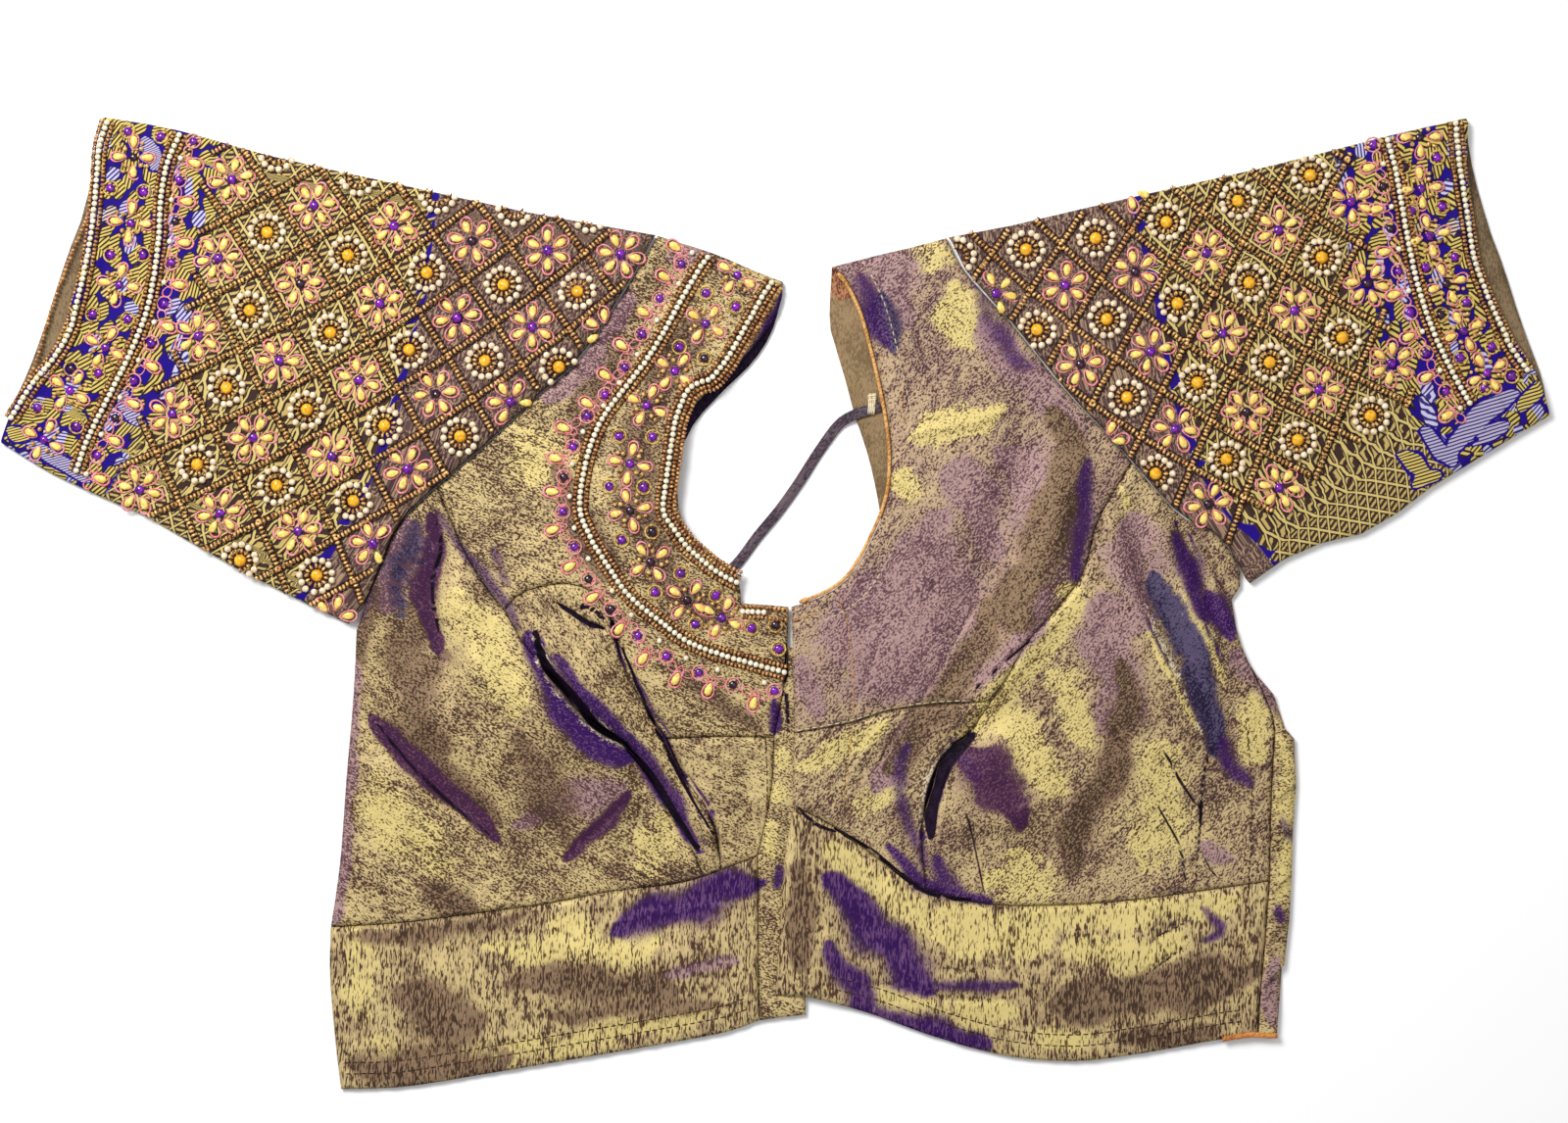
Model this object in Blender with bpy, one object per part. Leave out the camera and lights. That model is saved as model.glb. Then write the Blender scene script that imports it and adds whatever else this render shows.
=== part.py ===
"""Short fitted blouse laid face up on a flat surface.

Deep scooped front neck, cut-out back neck crossed by a tie, cups shaped by princess
seams, a stitched waistband, a hooked centre placket and beaded elbow sleeves.
Every size below is in millimetres; the frame is in metres, +Z up, z = 0 the surface.
"Right" and "left" are the wearer's: the right front is on the -X side.
"""
import math

import bmesh
import bpy
import numpy as np
from mathutils import Vector
from mathutils.geometry import delaunay_2d_cdt

MM = 0.001
WALL = 1.4            # cloth with its lining
LAYER_GAP = 0.4       # air between two layers of cloth
SEAM_GAP = 0.3        # between two pieces that are sewn together
GRID = 9.0            # spacing of the points inside a panel
EDGE_STEP = 7.0       # spacing of the points along a seam
FRONT_REST = 2 * WALL + LAYER_GAP      # top face of a front lying on the back
SLEEVE_FOLD = 4.6     # height of a sleeve at its two folded edges
SIDE_FOLD_RADIUS = 2.2                 # back panel turned up round the left side
SIDE_TURN_TOP = -28.0  # the turned strip starts below this
LAP_RISE = 1.9        # left front raised where it lies on the hook placket
SIDE_RISE = 1.0       # and where it meets the turned strip of back panel
BAND_RELIEF = 0.9     # bead bands stand this much above the cloth
BAND_WIDTH = 3.2
PIPING_RADIUS = 0.8
TIE_WIDTH = 5.2
TIE_WALL = 1.3

# Seams and edges, each a short run of (x, y) that a smooth line passes through.
CURVES = {
    "right shoulder": [(-52, 163), (-27, 155), (-10.5, 148), (3.5, 142.5)],
    "right neck": [(3.5, 142.5), (2.5, 132), (-3.5, 121.5), (-18.5, 103.5), (-32.5, 91),
                   (-39, 80.5), (-42, 60.5), (-43, 45.5), (-39.5, 33), (-32.5, 26),
                   (-20, 16.5), (-16, 10.5), (-15, 0)],
    "right neck step": [(-15, 0), (-5, -0.5), (6, -1.5)],
    "right centre top": [(6, -1.5), (6, -10), (5.5, -19.5)],
    "right centre yoke": [(5.5, -19.5), (3.5, -39), (-0.5, -59.5)],
    "right yoke seam": [(-48, -60), (-24.5, -59), (-0.5, -59.5)],
    "right princess top": [(-150, 51.5), (-145, 40), (-139, 25.5), (-132, 13.5), (-125, 3),
                           (-119.5, -3)],
    "right princess low": [(-119.5, -3), (-111, -18), (-102, -28), (-93.5, -39.5),
                           (-83, -51.5), (-68.5, -61.5), (-57.5, -74), (-45.5, -94.5),
                           (-38.5, -105.5), (-31.5, -121)],
    "right cup top": [(-119.5, -3), (-113.5, 4), (-106.5, 6.5), (-97, 8.5), (-87.5, 8),
                      (-78.5, 3.5), (-72.5, -6.5)],
    "right cup seam": [(-72.5, -6.5), (-67, -27.5), (-60.5, -40.5), (-54, -51.5), (-48, -60)],
    "right cup seam low": [(-48, -60), (-38, -81.5), (-30, -93), (-26, -101.5), (-24, -118)],
    "right centre low": [(-0.5, -59.5), (-1.5, -80.5), (-5.5, -102), (-8, -112)],
    "right band seam side": [(-197, -143.5), (-165, -141.5), (-129.5, -137), (-100.5, -133),
                             (-72, -127.5), (-45.5, -124.5), (-31.5, -121)],
    "right band seam cup": [(-31.5, -121), (-24, -118)],
    "right band seam centre": [(-24, -118), (-16, -115), (-8, -112)],
    "right band centre": [(-8, -112), (-7.5, -125), (-7.5, -151.5), (-7, -185)],
    "right hem": [(-192.5, -215.5), (-165, -214.5), (-129.5, -209), (-94, -203),
                  (-58.5, -197), (-23, -190.5), (-7, -185)],
    "right band side": [(-197, -143.5), (-197.5, -163), (-195.5, -189.5), (-192.5, -215.5)],
    "right side": [(-185.5, -12), (-187, -40.5), (-190, -76), (-193, -115), (-197, -143.5)],
    "right armhole top": [(-52, 163), (-69, 134.5), (-86.5, 108), (-107, 90), (-127, 71),
                          (-150, 51.5)],
    "right armhole low": [(-150, 51.5), (-165, 36.5), (-174.5, 15.5), (-181.5, -1),
                          (-185.5, -12)],
    "placket foot": [(-7, -185), (4, -183.5), (13.5, -182.5)],
    "placket hidden": [(13.5, -182.5), (14.5, -124), (16, -80.5), (16, -40), (16, -19.5)],
    "placket top": [(16, -19.5), (11, -19.5), (5.5, -19.5)],
    "left shoulder": [(25, 149), (46, 154.5), (59, 157.5), (76, 162)],
    "left neck": [(25, 149), (31, 144), (38, 130.5), (42.5, 115.5), (46.5, 99), (50, 81),
                  (51.5, 63.5), (50, 47), (43.5, 30), (34.5, 14), (26.5, 6.5), (16.5, 1.5),
                  (7, -1.5)],
    "left centre yoke": [(7, -1.5), (8, -37), (8.5, -57.5)],
    "left centre low": [(8.5, -57.5), (7.5, -76), (8, -89.5)],
    "left band centre": [(8, -89.5), (5, -107), (3, -125), (1.5, -150), (-0.5, -173.5)],
    "left yoke seam": [(8.5, -57.5), (34, -53), (49.5, -48), (69.5, -45), (95.5, -43.5)],
    "left armhole top": [(76, 162), (84.5, 146.5), (105, 123.5), (122.5, 101.5),
                         (135.5, 86.5), (145.5, 76.5), (158, 62.5)],
    "left armhole low": [(158, 62.5), (170.5, 48), (180.5, 38), (190.5, 33.5), (198, 28),
                         (205, 17.5), (206.5, 9), (202.5, 1.5)],
    "left princess top": [(158, 62.5), (148.5, 47), (142, 35), (135.5, 12.5), (121.5, -5.5),
                          (111, -17), (102, -33.5), (95.5, -43.5)],
    "left princess low": [(95.5, -43.5), (84.5, -59.5), (74.5, -66.5), (70, -81.5),
                          (65, -100.5), (67, -127)],
    "left band seam centre": [(8, -89.5), (20, -95.5), (30, -101.5), (48, -115), (67, -127)],
    "left band seam side": [(67, -127), (91, -133), (117, -134), (147.5, -132.5),
                            (178, -129), (219, -123)],
    "left side": [(202.5, 1.5), (206, -17), (215, -37), (221, -53), (220.5, -70),
                  (219.5, -93.5), (219, -123)],
    "left band side": [(219, -123), (216.5, -155.5), (215, -171), (214, -191.5)],
    "left hem": [(-0.5, -173.5), (17, -175), (42, -182), (73, -193), (104, -201),
                 (135, -203), (166, -199), (197, -193.5), (214, -191.5)],
    "back neck": [(3.5, 142.5), (0, 124), (-9, 108), (-25, 92), (-38, 76), (-46, 50),
                  (-46, 20), (-38, -10), (-20, -32), (2, -39), (24, -32), (40, -8),
                  (47, 12), (47, 35), (42, 62), (35, 84), (31, 99), (27, 112.5), (24, 125),
                  (25, 149)],
    "back hem": [(-192.5, -215.5), (-129.5, -208.5), (-58.5, -196), (-20, -188),
                 (-5, -182.5), (6, -176.5), (17, -173), (42, -179.5), (73, -190.5),
                 (104, -198.5), (135, -200.5), (166, -197), (197, -192), (222.5, -192)],
    "left side fold": [(202.5, 1.5), (208, -17), (219, -37), (226.5, -50), (230.5, -62.5),
                       (231, -77.5), (229.5, -101), (228.5, -132), (226.5, -155.5),
                       (224, -171.5), (222.5, -192)],
    "right sleeve top": [(-52, 163), (-83, 168.5), (-118, 175), (-170, 186.5),
                         (-222.5, 198), (-266, 210), (-297.5, 215.5)],
    "right sleeve low": [(-188.5, -9.5), (-209, 0.5), (-232, 12), (-255, 24.5),
                         (-276.5, 37.5), (-299.5, 47.5), (-321.5, 58), (-343, 71)],
    "right cuff front": [(-297.5, 215.5), (-300, 196), (-302.5, 174), (-305, 154.5),
                         (-310.5, 134), (-316, 116.5), (-322.5, 107), (-330, 97),
                         (-337.5, 86), (-343, 71)],
    "right cuff back": [(-297.5, 215.5), (-303.5, 187.5), (-307.5, 171), (-313.5, 155.5),
                        (-319, 139), (-325, 120), (-331.5, 102.5), (-338.5, 87),
                        (-343, 71)],
    "left sleeve top": [(76, 162), (105, 167.5), (143, 176.5), (185, 186), (226.5, 195.5),
                        (267, 206), (306, 215)],
    "left sleeve low": [(210, 8.5), (221, 16.5), (235.5, 25), (249.5, 28), (267, 33.5),
                        (280, 43.5), (294.5, 54), (309, 62.5), (326, 73), (343, 83)],
    "left cuff front": [(306, 215), (306.5, 187), (309, 157.5), (315, 137.5), (322, 123.5),
                        (329.5, 111.5), (337.5, 100), (343, 83)],
    "left cuff back": [(306, 215), (309.5, 191.5), (317, 165), (323, 149), (329, 130),
                       (334.5, 114.5), (340, 99.5), (343, 83)],
}

# Each panel's edge, curve after curve; a leading minus runs a curve backwards.
FRONT_PANELS = {
    "right_neck_panel": ["right shoulder", "right neck", "right neck step",
                         "right centre top", "right centre yoke", "-right yoke seam",
                         "-right cup seam", "-right cup top", "-right princess top",
                         "-right armhole top"],
    "right_cup_panel": ["right cup top", "right cup seam", "right cup seam low",
                        "-right band seam cup", "-right princess low"],
    "right_centre_panel": ["right yoke seam", "right centre low", "-right band seam centre",
                           "-right cup seam low"],
    "right_side_panel": ["right princess top", "right princess low",
                         "-right band seam side", "-right side", "-right armhole low"],
    "right_waistband": ["right band seam side", "right band seam cup",
                        "right band seam centre", "right band centre", "-right hem",
                        "-right band side"],
    "right_hook_placket": ["right centre yoke", "right centre low", "right band centre",
                           "placket foot", "placket hidden", "placket top"],
    "left_neck_panel": ["left shoulder", "left armhole top", "left princess top",
                        "-left yoke seam", "-left centre yoke", "-left neck"],
    "left_centre_panel": ["left yoke seam", "left princess low", "-left band seam centre",
                          "-left centre low"],
    "left_side_panel": ["left princess top", "left princess low", "left band seam side",
                        "-left side", "-left armhole low"],
    "left_waistband": ["left band seam centre", "left band seam side", "left band side",
                       "-left hem", "-left band centre"],
}

# Broad rises of the cloth: centre, half sizes along and across, turn, height.
MOUNDS = [
    # name, x, y, along, across, degrees, height
    ("right cup", -82, -38, 62, 44, -52, 7.0),
    ("right bust side", -140, -60, 44, 30, -40, 3.0),
    ("right neck side", -62, 52, 60, 30, 60, 3.6),
    ("right lower cup", -30, -92, 26, 20, -50, 3.0),
    ("left cup", 150, -30, 58, 46, -50, 6.5),
    ("left upper front", 96, 40, 60, 34, -58, 4.2),
    ("left lower cup", 96, -84, 34, 24, 0, 5.0),
    ("left yoke", 58, -22, 36, 24, 10, 3.2),
    ("right sleeve", -215, 105, 90, 46, -27, 3.4),
    ("left sleeve", 225, 110, 90, 44, 22, 3.4),
    ("right band", -95, -170, 70, 22, 6, 1.6),
    ("left band", 120, -165, 70, 22, -4, 2.0),
]

# Largest folds, each a soft ridge (+) or trough (-): height, half width, line.
FOLDS = [
    # name, height, half width, points
    ("right armhole hollow", -4.5, 6.0, [(-150, 46), (-153, 20), (-155, 4), (-152, -12),
                                         (-147, -30)]),
    ("right edge roll", 4.2, 6.5, [(-160, 44), (-169, 24), (-175, 6), (-177, -12),
                                   (-176, -30)]),
    ("right inner roll", 3.2, 7.0, [(-141, 20), (-139, 0), (-134, -22), (-122, -46)]),
    ("right side hollow", -3.4, 7.0, [(-184, -46), (-163, -62), (-140, -86), (-118, -108)]),
    ("right side roll", 2.6, 8.0, [(-166, -42), (-142, -58), (-118, -82), (-98, -104)]),
    ("right side roll low", 2.4, 9.0, [(-184, -72), (-162, -92), (-140, -116)]),
    ("right princess hollow", -5.0, 4.5, [(-106, -24), (-93.5, -39.5), (-83, -51.5),
                                          (-68.5, -61.5), (-57.5, -74), (-45.5, -94.5),
                                          (-35, -110)]),
    ("right princess lip", 2.6, 5.5, [(-112, -36), (-99, -50), (-86, -62), (-73, -73),
                                      (-62, -88), (-53, -106)]),
    ("right cup lip", 2.4, 5.5, [(-93, -24), (-82, -38), (-69, -49), (-56, -62),
                                 (-44, -80)]),
    ("right cup seam hollow", -4.0, 4.5, [(-72, -10), (-67, -28), (-60, -41), (-48, -60),
                                          (-38, -81), (-28, -100)]),
    ("right gather hollow", -2.6, 3.6, [(-99, 3), (-86, -7), (-75, -13)]),
    ("right dart", -1.8, 4.0, [(-57, -77), (-61, -94), (-65, -110), (-68, -124)]),
    ("right lower cup hollow", -2.0, 4.5, [(-18, -70), (-13, -84), (-9, -100), (-8, -110)]),
    ("right band hollow", -1.6, 7.0, [(-74, -141), (-48, -137), (-22, -130), (-9, -126)]),
    ("right band roll", 1.8, 8.0, [(-100, -150), (-60, -158), (-20, -150)]),
    ("right neck hollow", -1.6, 6.0, [(-60, 120), (-76, 80), (-84, 44), (-76, 14)]),
    ("left princess hollow", -5.5, 5.0, [(104, -40), (92, -55), (79, -67), (72, -84),
                                         (67, -104)]),
    ("left front roll", 4.6, 8.0, [(136, 74), (126, 40), (116, 6), (102, -26), (84, -48),
                                   (62, -60)]),
    ("left front hollow", -2.6, 7.0, [(118, 92), (104, 50), (92, 10), (78, -20)]),
    ("left armhole roll", 4.8, 7.0, [(148, 54), (153, 23), (159, 1), (170, -25),
                                     (191, -63)]),
    ("left armhole hollow", -3.4, 5.0, [(157, 48), (163, 20), (170, -4), (183, -30)]),
    ("left outer roll", 4.2, 5.5, [(166, 46), (172, 27), (182, 7), (191, -17), (195, -39)]),
    ("left edge hollow", -3.0, 5.0, [(177, 36), (185, 16), (194, -6), (203, -26)]),
    ("left side roll", 2.2, 6.5, [(168, -56), (180, -74), (192, -94)]),
    ("left dart", -2.0, 4.0, [(78, -78), (84, -92), (88, -106), (93, -131)]),
    ("left lower cup roll", 2.4, 6.0, [(76, -96), (100, -96), (126, -84)]),
    ("left band hollow", -2.4, 8.0, [(19, -115), (44, -142), (72, -176)]),
    ("left band roll", 2.4, 9.0, [(40, -118), (66, -146), (92, -178)]),
    ("left band end roll", 1.8, 9.0, [(150, -140), (172, -160), (188, -186)]),
    ("right sleeve hollow", -2.4, 9.0, [(-110, 160), (-150, 120), (-190, 84), (-230, 60)]),
    ("right sleeve roll", 2.4, 10.0, [(-90, 140), (-130, 98), (-170, 60), (-205, 30)]),
    ("right cuff hollow", -1.8, 9.0, [(-240, 170), (-262, 120), (-280, 74)]),
    ("left sleeve hollow", -2.4, 9.0, [(120, 150), (160, 116), (200, 84), (236, 56)]),
    ("left sleeve roll", 2.4, 9.0, [(104, 138), (140, 96), (176, 62), (206, 34)]),
    ("left cuff hollow", -1.8, 9.0, [(258, 180), (272, 130), (292, 84)]),
    ("tie under front", 1.8, 9.0, [(-20, 14), (-34, 8), (-50, 2)]),
]

# Raised bead bands on the neck panel, along their middle lines.
NECK_BANDS = {
    "inner": [(-1.5, 141), (-7, 131.5), (-13, 121.5), (-20, 110.5), (-28.5, 99.5),
              (-37, 95.5), (-41, 88.5), (-44.5, 77), (-47.5, 60.5), (-49, 45.5),
              (-46.5, 33), (-39.5, 23), (-30, 15), (-17.5, 8.5)],
    "outer": [(-30, 153), (-35, 145.5), (-42, 133), (-49, 120), (-57.5, 106.5),
              (-66, 95.5), (-75.5, 83), (-81.5, 70), (-85, 55), (-86, 41), (-82, 30),
              (-74.5, 17.5), (-64.5, 3.5), (-52, -7), (-38.5, -17), (-24.5, -22.5),
              (-10.5, -26.5), (4.0, -30.5)],
}
BAND_PLACES = {"right_sleeve": (0.855, 0.978), "left_sleeve": (0.865, 0.98)}

TIE_PATH = [(46.5, 87.5, 1.8), (41, 85.5, 1.8), (35, 83.5, 1.8), (28, 79, 0.1),
            (19.5, 67.5, 0.0), (10.5, 53.5, 0.0), (2, 41.5, 0.0), (-7.5, 30, 0.0),
            (-17, 17.5, 0.0), (-27, 9, 0.1), (-36, 3, 1.8), (-42, 0, 1.8),
            (-49, -3, 1.8)]

COLOURS = {
    "gold tissue": (0.36, 0.27, 0.075, 1.0),
    "purple tissue": (0.17, 0.085, 0.10, 1.0),
    "lining": (0.14, 0.11, 0.055, 1.0),
    "navy brocade": (0.12, 0.07, 0.16, 1.0),
    "gold piping": (0.62, 0.36, 0.10, 1.0),
    "tie cloth": (0.11, 0.07, 0.09, 1.0),
}
CLOTHS = {
    "right_neck_panel": "gold tissue", "right_cup_panel": "purple tissue",
    "right_centre_panel": "gold tissue", "right_side_panel": "gold tissue",
    "right_waistband": "gold tissue", "right_hook_placket": "purple tissue",
    "left_neck_panel": "gold tissue", "left_centre_panel": "gold tissue",
    "left_side_panel": "purple tissue", "left_waistband": "gold tissue",
    "back_panel": "lining", "right_sleeve": "navy brocade", "left_sleeve": "navy brocade",
    "neck_piping": "gold piping", "back_tie": "tie cloth",
}


def spline(points, count):
    """A smooth line through the points, cut into count equal steps."""
    p = np.array(points, dtype=float)
    if len(p) > 2:
        ends = [2 * p[0] - p[1], *p, 2 * p[-1] - p[-2]]
        fine = []
        for a, b, c, d in zip(ends, ends[1:], ends[2:], ends[3:]):
            for t in np.linspace(0, 1, 12, endpoint=False):
                fine.append(0.5 * (2 * b + (c - a) * t + (2 * a - 5 * b + 4 * c - d) * t * t
                                   + (3 * b - a - 3 * c + d) * t ** 3))
        p = np.array(fine + [p[-1]])
    steps = np.hypot(*np.diff(p[:, :2], axis=0).T)
    run = np.concatenate([[0], np.cumsum(steps)])
    at = np.linspace(0, run[-1], count + 1)
    return np.column_stack([np.interp(at, run, p[:, k]) for k in range(p.shape[1])])


def length(points):
    return float(np.hypot(*np.diff(np.array(points, float)[:, :2], axis=0).T).sum())


def curve(name, step=EDGE_STEP):
    """A named seam cut into equal steps; a leading minus turns it round."""
    points = CURVES[name.lstrip("-")]
    line = spline(points, max(1, math.ceil(length(points) / step)))
    return line[::-1] if name.startswith("-") else line


def closed_edge(names, step=EDGE_STEP):
    return np.concatenate([curve(n, step)[:-1] for n in names])


def inset(loop, amount):
    """Move a closed outline inwards."""
    before, after = np.roll(loop, 1, axis=0), np.roll(loop, -1, axis=0)
    turn = np.sum(loop[:, 0] * after[:, 1] - after[:, 0] * loop[:, 1])
    side = 1.0 if turn > 0 else -1.0

    def normal(d):
        d = d / np.maximum(np.hypot(d[:, 0], d[:, 1]), 1e-9)[:, None]
        return side * np.column_stack([-d[:, 1], d[:, 0]])

    n1, n2 = normal(loop - before), normal(after - loop)
    mid = n1 + n2
    scale = np.maximum(np.sum(mid * n1, axis=1), 0.35)
    return loop + amount * mid / scale[:, None]


def inside(points, loop):
    """Which points lie inside a closed outline."""
    x, y = points[:, 0:1], points[:, 1:2]
    x0, y0 = loop[:, 0][None], loop[:, 1][None]
    x1, y1 = np.roll(loop[:, 0], -1)[None], np.roll(loop[:, 1], -1)[None]
    crosses = (y0 > y) != (y1 > y)
    at = x0 + (y - y0) * (x1 - x0) / np.where(y1 == y0, 1e-9, y1 - y0)
    return np.sum(crosses & (x < at), axis=1) % 2 == 1


def distance(points, line):
    """Distance to a line of points and how far along it, 0 to 1."""
    best = np.full(len(points), 1e9)
    along = np.zeros(len(points))
    run = np.concatenate([[0], np.cumsum(np.hypot(*np.diff(line, axis=0).T))])
    for k, (a, b) in enumerate(zip(line, line[1:])):
        ab = b - a
        t = np.clip(((points - a) @ ab) / max(ab @ ab, 1e-9), 0, 1)
        d = np.hypot(*(points - a - t[:, None] * ab).T)
        near = d < best
        best[near] = d[near]
        along[near] = (run[k] + t * (run[k + 1] - run[k]))[near] / run[-1]
    return best, along


FOLD_LINES = {name: spline(points, max(4, math.ceil(length(points) / 7.5)))
              for name, _, _, points in FOLDS}
BAND_LINES = {name: spline(points, math.ceil(length(points) / 7.0))
              for name, points in NECK_BANDS.items()}
OUTER_EDGES = ["right shoulder", "right hem", "right band side", "right side",
               "left shoulder", "left hem", "left band side", "left side",
               "right sleeve top", "right sleeve low", "left sleeve top", "left sleeve low"]


def lift(points):
    """Rise of the upper layer above its flat level."""
    h = np.zeros(len(points))
    for _, x, y, along, across, degrees, height in MOUNDS:
        c, s = math.cos(math.radians(degrees)), math.sin(math.radians(degrees))
        d = points - np.array([x, y])
        u, v = (d[:, 0] * c + d[:, 1] * s) / along, (-d[:, 0] * s + d[:, 1] * c) / across
        h += height * np.exp(-(u * u + v * v))
    for name, height, width, _ in FOLDS:
        d, along = distance(points, FOLD_LINES[name])
        ends = np.clip(np.minimum(along, 1 - along) / 0.2, 0, 1)
        taper = 0.15 + 0.85 * ends * ends * (3 - 2 * ends)
        h += height * taper * np.exp(-(d / width) ** 2)
    h = 0.5 * (h + np.sqrt(h * h + 0.8))
    edge = np.min([distance(points, curve(n))[0] for n in OUTER_EDGES], axis=0)
    near = np.clip(edge / 16.0, 0, 1)
    return h * (0.25 + 0.75 * near * near * (3 - 2 * near))


def band_relief(points):
    h = np.zeros(len(points))
    for line in BAND_LINES.values():
        d, _ = distance(points, line)
        h = np.maximum(h, BAND_RELIEF * np.exp(-(d / BAND_WIDTH) ** 4))
    return h


def lap(points):
    """Extra height of the left front over the hook placket and at its side seam."""
    t = np.clip((44.0 - points[:, 0]) / 24.0, 0, 1)
    s = np.clip((points[:, 0] - 196.0) / 16.0, 0, 1) * np.clip(-points[:, 1] / 30, 0, 1)
    return LAP_RISE * t * t * (3 - 2 * t) + SIDE_RISE * s * s * (3 - 2 * s)


def fill_outline(loop, inner):
    """Triangles of a flat outline with points inside it."""
    verts = [Vector(p) for p in loop] + [Vector(p) for p in inner]
    edges = [(k, (k + 1) % len(loop)) for k in range(len(loop))]
    out, _, faces, _, _, _ = delaunay_2d_cdt(verts, edges, [], 1, 1e-5)
    return np.array([(v.x, v.y) for v in out]), [tuple(f) for f in faces]


def inner_points(loop, lines, grid=GRID):
    """Points inside an outline: along the folds first, then an even spread."""
    kept = []
    for line in lines:
        line = line[inside(line, loop)]
        if len(line):
            kept.append(line[distance(line, np.vstack([loop, loop[:1]]))[0] > 2.2])
    low, high = loop.min(axis=0), loop.max(axis=0)
    rows = np.arange(low[1], high[1], grid * 0.866)
    spread = np.array([(x + (k % 2) * grid / 2, y) for k, y in enumerate(rows)
                       for x in np.arange(low[0], high[0], grid)])
    spread = spread[inside(spread, loop)]
    spread = spread[distance(spread, np.vstack([loop, loop[:1]]))[0] > grid * 0.42]
    points = np.concatenate(kept) if kept else np.zeros((0, 2))
    chosen = []
    for p in points:
        if all((p[0] - q[0]) ** 2 + (p[1] - q[1]) ** 2 > 14.0 for q in chosen):
            chosen.append(p)
    points = np.array(chosen).reshape(-1, 2)
    if len(points) and len(spread):
        gaps = np.min(np.hypot(spread[:, None, 0] - points[None, :, 0],
                               spread[:, None, 1] - points[None, :, 1]), axis=1)
        spread = spread[gaps > grid * 0.55]
    return np.concatenate([points, spread])


def solid_object(name, verts, faces):
    """A closed mesh in metres with its own cloth, faces turned outwards."""
    mesh = bpy.data.meshes.new(name)
    mesh.from_pydata([tuple(c * MM for c in v) for v in verts], [], faces)
    bm = bmesh.new()
    bm.from_mesh(mesh)
    bmesh.ops.recalc_face_normals(bm, faces=bm.faces)
    bm.to_mesh(mesh)
    bm.free()
    item = bpy.data.objects.new(name, mesh)
    bpy.context.collection.objects.link(item)
    return dress(item)


def dress(item):
    cloth = CLOTHS[item.name]
    material = bpy.data.materials.new(item.name + "_cloth")
    material.use_nodes = True
    shader = material.node_tree.nodes["Principled BSDF"]
    shader.inputs["Base Color"].default_value = COLOURS[cloth]
    shader.inputs["Roughness"].default_value = 0.6
    item.data.materials.append(material)
    return item


def cloth_wall(name, points, faces, upper, lower):
    """A wall between two heights over the same flat triangles."""
    n = len(points)
    verts = [(*p, z) for p, z in zip(points, upper)] + [(*p, z) for p, z in zip(points, lower)]
    every = [tuple(f) for f in faces] + [tuple(n + k for k in reversed(f)) for f in faces]
    sides = {}
    for f in faces:
        for a, b in zip(f, f[1:] + f[:1]):
            sides[(a, b)] = sides.get((a, b), 0) + 1
    for a, b in sides:
        if (b, a) not in sides:
            every.append((b, a, n + a, n + b))
    return solid_object(name, verts, every)


def front_panel(name, edge_names):
    loop = inset(closed_edge(edge_names), SEAM_GAP / 2)
    lines = list(FOLD_LINES.values())
    if name == "right_neck_panel":
        lines = list(BAND_LINES.values()) + lines
    points, faces = fill_outline(loop, inner_points(loop, lines))
    top = FRONT_REST + lift(points)
    if name.startswith("left"):
        top = top + lap(points)
    relief = band_relief(points) if name == "right_neck_panel" else 0.0
    return cloth_wall(name, points, faces, top + relief, top - WALL)


def fold_line_x(y):
    line = curve("left side fold", 2.0)[::-1]
    return np.interp(y, line[:, 1], line[:, 0]) + np.clip(y - SIDE_TURN_TOP, 0, 12)


def turned(points, depth):
    """Flat cloth past the side fold rolled up and laid back on itself."""
    r = SIDE_FOLD_RADIUS
    fold = fold_line_x(points[:, 1]) - r
    past = points[:, 0] - fold
    arc = math.pi * r
    angle = np.clip(past / r, 0, math.pi)
    x = np.where(past <= 0, points[:, 0],
                 np.where(past < arc, fold + (r - depth) * np.sin(angle),
                          fold - (past - arc)))
    z = np.where(past <= 0, depth,
                 np.where(past < arc, r - (r - depth) * np.cos(angle), 2 * r - depth))
    return np.column_stack([x, points[:, 1], z])


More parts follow.
